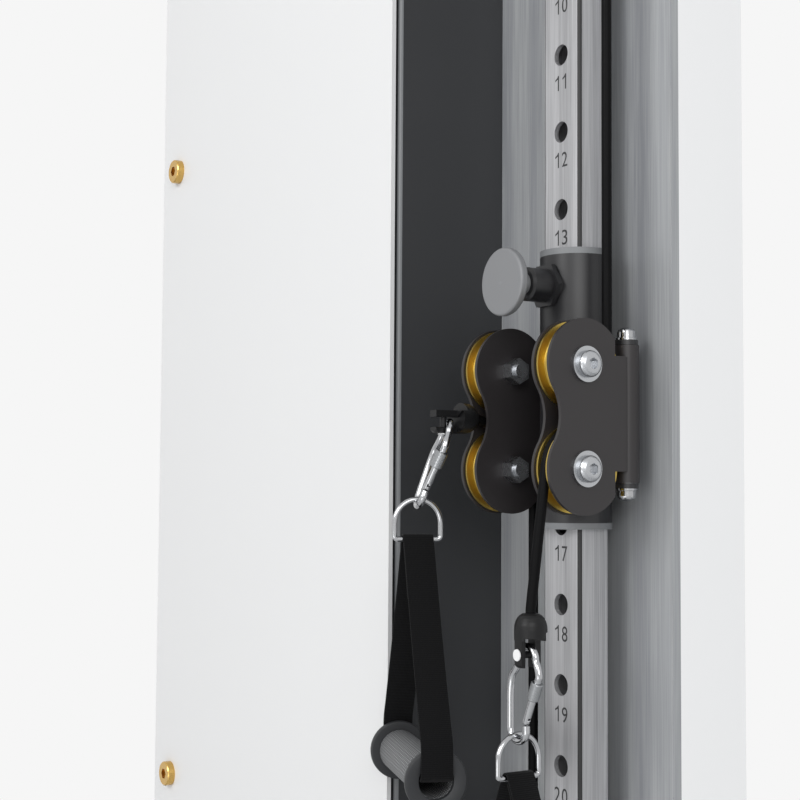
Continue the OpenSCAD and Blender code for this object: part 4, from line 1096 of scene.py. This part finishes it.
@dataclass
class Handle(Placed):
    """A D-ring with a loop of sewn webbing and a turning grip between two discs.

    Its own axes are x along the grip, y through the webbing's width and z up, from the hook's lowest bend.
    """

    ring_wire: float = 2.1 * MM
    ring_width: float = 42 * MM
    ring_height: float = 36 * MM
    hook_wire: float = 2.8 * MM
    drop: float = 205 * MM
    grip_length: float = 145 * MM
    disc: float = 24 * MM
    disc_thickness: float = 6 * MM
    tube: float = 17 * MM
    web_width: float = 25 * MM
    web_thickness: float = 2 * MM
    web_step: float = 2.5 * MM
    bore_gap: float = 0.9 * MM  # between the webbing's edge and the grip's bore
    rim: float = 1.5 * MM  # radius of the discs' rounded rims
    gap: float = 0.3 * MM
    turn: float = 6 * MM  # radius of the webbing's turn into the grip
    knee: float = 2 * MM  # depth below the disc's upper edge at which the webbing meets its face
    sag: float = 2.2 * MM
    sewn: tuple[int, int] = (6, 13)  # points of the leg where the sewn overlap begins and ends
    thread: float = 0.35 * MM
    stitch_length: float = 2.4 * MM
    stitch_pitch: float = 3.4 * MM
    seam: float = 9.5 * MM  # distance of the long seams from the webbing's middle
    hem: float = 2.5 * MM  # distance of the short seam from the overlap's end

    @property
    def place(self) -> Matrix:
        """Place the handle at the hook's lowest bend, turned about Z as the hook is.

        Returns:
            Its own axes in the frame.
        """
        hook = Hook(self.side)
        u, w = hook.end_centre
        origin = hook.place @ Vector((u, 0, w - hook.end_radius))
        return Matrix.Translation(origin) @ Matrix.Rotation(HANGS[self.side].yaw, 4, "Z")

    @property
    def ring_top(self) -> float:
        """Return the height of the middle of the wire in the D-ring's top bend."""
        return self.hook_wire + self.ring_wire + self.gap

    @property
    def bar(self) -> float:
        """Return the height of the middle of the D-ring's bar."""
        return self.ring_top + 2 * self.ring_wire - self.ring_height

    def ring(self) -> Piece:
        """Bend the D-ring: a half circle, two straight legs and a bar with rounded corners.

        Returns:
            The ring, in the handle's own axes.
        """
        r = self.ring_width / 2 - self.ring_wire
        corner = 3 * MM
        path = np.vstack((
            arc((0, 0, self.ring_top - r), r, Y, Z, 0, 180),
            arc((0, corner - r, self.bar + corner), corner, Y, Z, 180, 270, 15),
            arc((0, r - corner, self.bar + corner), corner, Y, Z, 270, 360, 15),
        ))
        rings = carry(path, circle(self.ring_wire), X, True)
        return surface(f"ring_wire_{self.side.word}", rings, CHROME, loop=True)

    def leg(self) -> np.ndarray:
        """Draw the right half of the webbing's middle line, from the top of the bar to the grip's axis.

        Returns:
            Its points in the handle's own axes, one row each.
        """
        face = self.grip_length / 2 + self.gap + self.web_thickness / 2
        knee = np.array((face, -self.drop + self.disc - self.knee))
        lean = math.degrees(math.atan2(knee[0], self.bar - knee[1]))
        wrap = self.ring_wire + self.gap + self.web_thickness / 2
        over = arc((0, 0, self.bar), wrap, Z, X, 0, 90 - lean, 10)
        down = np.linspace(over[-1], (knee[0] - 1 * MM, 0, knee[1] + 6 * MM), 14)[1:]
        down = down - np.sin(np.linspace(0, math.pi, len(down)))[:, None] * self.sag * X
        # Points that draw apart step by step, so that the curve doesn't swing out beside a tight bend
        leave = over[-1] + (down[0] - over[-1]) * np.array([[0.06], [0.2], [0.5]])
        low = (knee[0], 0, knee[1] - 2 * MM)
        steps = np.array([1, 2.5, 6, 14, 30])[:, None] * MM
        settle = np.array((face, 0, self.turn - self.drop)) + steps[2::-1] * Z
        bend = arc((face - self.turn, 0, self.turn - self.drop), self.turn, X, -Z, 0, 90, 15)
        return np.vstack((over, leave, down, low, settle, bend, bend[-1] - steps * X))

    def strap(self) -> Piece:
        """Weave the loop, with the overlap where its ends are sewn and the stitches on it.

        Returns:
            The strap, in the handle's own axes.
        """
        half = self.leg()
        other = half[::-1][:-1] * (-1, 1, 1)
        path = smooth(np.vstack((half, other)), self.web_step, closed=True)
        word = self.side.word
        band = tape(self.web_width, self.web_thickness)
        loop = surface(f"webbing_{word}", carry(path, band, Y, True), STRAP_TAPE, True)
        start, end = half[list(self.sewn)]
        way = (end - start) / np.linalg.norm(end - start)
        inward = np.cross(way, Y)
        inward = inward if inward[0] < 0 else -inward
        shift = inward * (self.web_thickness - 0.2 * MM)
        tab_path = np.linspace(start + way * 4 * MM + shift, end + shift, 12)
        tab = surface(f"webbing_end_{word}", carry(tab_path, band, Y), STRAP_TAPE)
        base = tab_path[0] + inward * (self.web_thickness / 2)
        rows = self.seams(np.linalg.norm(tab_path[-1] - tab_path[0]))
        stitches = [self.stitch(base, way, inward, row) for row in rows]
        return merged(f"webbing_{word}", [loop, tab, *stitches])

    def seams(self, length: float) -> list[tuple[float, float, float, float]]:
        """Set the stitches out in two long seams and two short ones.

        Args:
            length: Length of the overlap.

        Returns:
            Each stitch's two needle holes, each by its place along the overlap and across it.
        """
        stitch, pitch, rows = self.stitch_length, self.stitch_pitch, []
        for across in (-self.seam, self.seam):
            starts = np.arange(self.hem, length - 4 * MM, pitch)
            rows += [(s, across, s + stitch, across) for s in starts]
        for s in (self.hem, length - 3 * MM):
            starts = np.arange(1 * MM - self.seam, self.seam - 2 * MM, pitch)
            rows += [(s, a, s, a + stitch) for a in starts]
        return rows

    def stitch(
        self, base: np.ndarray, way: np.ndarray, out: np.ndarray, row: tuple[float, float, float, float]
    ) -> Piece:
        """Lay one thread stitch as a low hump between two needle holes.

        Args:
            base: The overlap's start, in the middle of its face.
            way: Unit direction along the overlap.
            out: Unit normal of its face.
            row: The two holes, each by its place along the overlap and across it.

        Returns:
            The stitch.
        """
        a = base + way * row[0] + Y * row[1]
        b = base + way * row[2] + Y * row[3]
        t = np.linspace(0, 1, 5)[:, None]
        path = a + (b - a) * t + out * self.thread * np.sin(math.pi * t)
        side = np.cross(out, b - a)
        return surface("stitch", carry(path, circle(self.thread, 6), side / np.linalg.norm(side)), THREAD)

    def grip(self) -> Piece:
        """Mould the knurled sleeve and its two discs round a hollow tube.

        Returns:
            The grip, in the handle's own axes.
        """
        h, t, bore = self.grip_length / 2, self.disc_thickness, self.web_width / 2 + self.bore_gap
        axis, soft = np.array((0, 0, -self.drop)), self.rim
        word = self.side.word
        bevel = np.radians(np.linspace(0, 90, 5))
        rows = [(bore + 0.2 * MM, 0.6 * MM), (bore + 1 * MM, 0)]
        rows += list(zip(self.disc - soft + soft * np.sin(bevel), soft - soft * np.cos(bevel)))
        rows += list(zip(self.disc - soft + soft * np.cos(bevel), t - soft + soft * np.sin(bevel)))
        rows += [(self.tube - 1.2 * MM, t), (bore + 0.2 * MM, t)]
        profile = np.array(rows)
        parts = []
        for sign in (-1, 1):
            place = (profile - (0, h)) * (1, -sign)
            parts.append(surface("disc", revolve(place, axis, X, 72), DISC_RUBBER, loop=True))
        long, edge = h - t, self.tube - 0.6 * MM
        tube = np.array([
            (bore, -long), (edge, -long), (self.tube, -long + 1 * MM),
            (self.tube, long - 1 * MM), (edge, long), (bore, long),
        ])
        parts.insert(0, surface("sleeve", revolve(tube, axis, X, 72), GRIP_RUBBER, loop=True))
        self.stretch_uv(parts[0], axis)
        return merged(f"grip_sleeve_{word}", parts)

    def stretch_uv(self, piece: Piece, axis: np.ndarray) -> None:
        """Lay the sleeve's UV map out in metres: along the grip, and round it by angle times radius.

        The number of diamonds round the sleeve comes out whole, so the pattern meets itself.

        Args:
            piece: The sleeve, in the handle's own axes.
            axis: A point on the grip's axis.
        """
        mesh = piece.data
        index = np.zeros(len(mesh.loops), np.int32)
        mesh.loops.foreach_get("vertex_index", index)
        p = vertices(mesh)[index] - axis
        angle = np.arctan2(p[:, 2], p[:, 1])
        starts = np.zeros(len(mesh.polygons), np.int32)
        mesh.polygons.foreach_get("loop_start", starts)
        face = np.searchsorted(starts, np.arange(len(index)), side="right") - 1
        first = angle[starts[face]]
        angle = first + (angle - first + math.pi) % (2 * math.pi) - math.pi
        step = GRIP_RUBBER.pitch * math.sqrt(2)
        around = round(2 * math.pi * self.tube / step) * step
        uv = np.column_stack((p[:, 0], angle / (2 * math.pi) * around)).astype(np.float32)
        mesh.uv_layers[0].data.foreach_set("uv", uv.ravel())

    def build(self) -> None:
        """Make the ring, the webbing and the grip."""
        word = self.side.word
        stand_for(self.put(self.ring()), f"d_ring_{word}", f"handle_{word}")
        stand_for(self.put(self.strap()), f"strap_{word}", f"handle_{word}")
        stand_for(self.put(self.grip()), f"grip_{word}", f"roller_{word}")


@dataclass(frozen=True)
class Lamp:
    """A round soft lamp that is turned towards its target, with its diameter and its power in watts."""

    name: str
    place: Point
    target: Point
    size: float
    power: float


@dataclass
class Studio:
    """The camera at the photograph's angle, the soft lamps, the pale floor and the white surroundings."""

    eye: Point = (1228.3 * MM, -885.2 * MM, -1.2 * MM)
    yaw: float = 57.8
    pitch: float = 3.45
    roll: float = 0.38
    focal_pixels: float = 1500.0
    sensor_width: float = 36.0  # millimetres, as the camera counts it
    sight: float = 50.0  # the farthest that the camera sees
    floor_radius: float = 3.2
    floor_y: float = -0.6
    floor_height: float = -1250 * MM
    floor_thickness: float = 10 * MM
    pale: str = "#f6f6f6"
    grey: str = "#e6e8ea"
    grey_strength: float = 0.55
    lamps: tuple[Lamp, ...] = (
        Lamp("key_softbox", (0.55, -3.2, 1.6), (0.1, -0.1, 0.0), 1.8, 55.0),
        Lamp("side_softbox", (3.0, -1.7, 1.2), (0.25, -0.1, 0.0), 2.0, 40.0),
        Lamp("low_fill", (1.2, -2.6, -1.0), (0.2, -0.1, 0.0), 1.6, 14.0),
    )

    def camera(self) -> None:
        """Set the camera up by yaw, pitch and roll; its lens comes from the focal length in pixels."""
        psi, p, roll = (math.radians(a) for a in (self.yaw, self.pitch, self.roll))
        forward = Vector((-math.sin(psi) * math.cos(p), math.cos(psi) * math.cos(p), math.sin(p)))
        right = Vector((math.cos(psi), math.sin(psi), 0))
        up = right.cross(forward)
        turned_right = right * math.cos(roll) + up * math.sin(roll)
        turned_up = up * math.cos(roll) - right * math.sin(roll)
        data = bpy.data.cameras.new("photo_view")
        data.sensor_width = self.sensor_width
        data.lens = self.focal_pixels / IMAGE_SIZE * self.sensor_width
        data.clip_end = self.sight
        camera = place_in_scene("photo_view", data)
        camera.matrix_world = Matrix((
            (turned_right.x, turned_up.x, -forward.x, self.eye[0]),
            (turned_right.y, turned_up.y, -forward.y, self.eye[1]),
            (turned_right.z, turned_up.z, -forward.z, self.eye[2]),
            (0, 0, 0, 1),
        ))
        bpy.context.scene.camera = camera

    def light(self) -> None:
        """Hang the lamps, each turned towards its target."""
        for lamp in self.lamps:
            data = bpy.data.lights.new(lamp.name, "AREA")
            data.shape = "DISK"
            data.size = lamp.size
            data.energy = lamp.power
            hung = place_in_scene(lamp.name, data)
            hung.location = lamp.place
            aim = Vector(lamp.target) - Vector(lamp.place)
            hung.rotation_euler = aim.to_track_quat("-Z", "Y").to_euler()

    def seen_directly(self, tree: Tree) -> Socket:
        """Tell the rays that show the surroundings from those that light the model.

        Args:
            tree: The world's node tree.

        Returns:
            A socket with 1 for camera, glossy and transmission rays and 0 for the others.
        """
        path = add_node(tree, "ShaderNodeLightPath")
        names = ("Is Camera Ray", "Is Glossy Ray", "Is Transmission Ray")
        seen = path.outputs[names[0]]
        for name in names[1:]:
            seen = combine(tree, "MAXIMUM", seen, path.outputs[name])
        return seen

    def surroundings(self) -> None:
        """Show a pale world to the camera and to reflections, and light softly with a grey one."""
        world = bpy.data.worlds.new("studio")
        world.use_nodes = True
        tree = world.node_tree
        tree.nodes.clear()
        shown = add_node(tree, "ShaderNodeBackground", {"Color": linear(self.pale), "Strength": 1.0})
        values = {"Color": linear(self.grey), "Strength": self.grey_strength}
        light = add_node(tree, "ShaderNodeBackground", values)
        values = {0: self.seen_directly(tree), 1: light.outputs[0], 2: shown.outputs[0]}
        mix = add_node(tree, "ShaderNodeMixShader", values)
        add_node(tree, "ShaderNodeOutputWorld", {"Surface": mix.outputs[0]})
        bpy.context.scene.world = world

    def floor(self) -> None:
        """Lay a pale round floor below the unit: a thin ring with a hole of a millimetre."""
        wide, thick = self.floor_radius, self.floor_thickness
        ring = np.array([(wide, 0.0), (wide, thick), (1 * MM, thick), (1 * MM, 0.0)])
        origin = np.array((0.0, self.floor_y, self.floor_height - thick))
        vinyl = Moulding("rolled_studio_floor", "#eeeeee", 0.8)
        surface("studio_floor", revolve(ring, origin, Z, 96), vinyl, loop=True)

    def build(self) -> None:
        """Set up the whole studio."""
        self.camera()
        self.light()
        self.surroundings()
        self.floor()
        bpy.context.scene.view_settings.view_transform = "Standard"
        log.info("studio ready")


def main() -> None:
    """Build the sub-assemblies in order."""
    logging.basicConfig(level=logging.INFO, format="%(message)s")
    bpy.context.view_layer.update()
    Studio().build()
    Structure().build()
    Carriage().build()
    Cables().build()
    for side in Side:
        Hook(side).build()
        Handle(side).build()


if __name__ == "__main__":
    main()
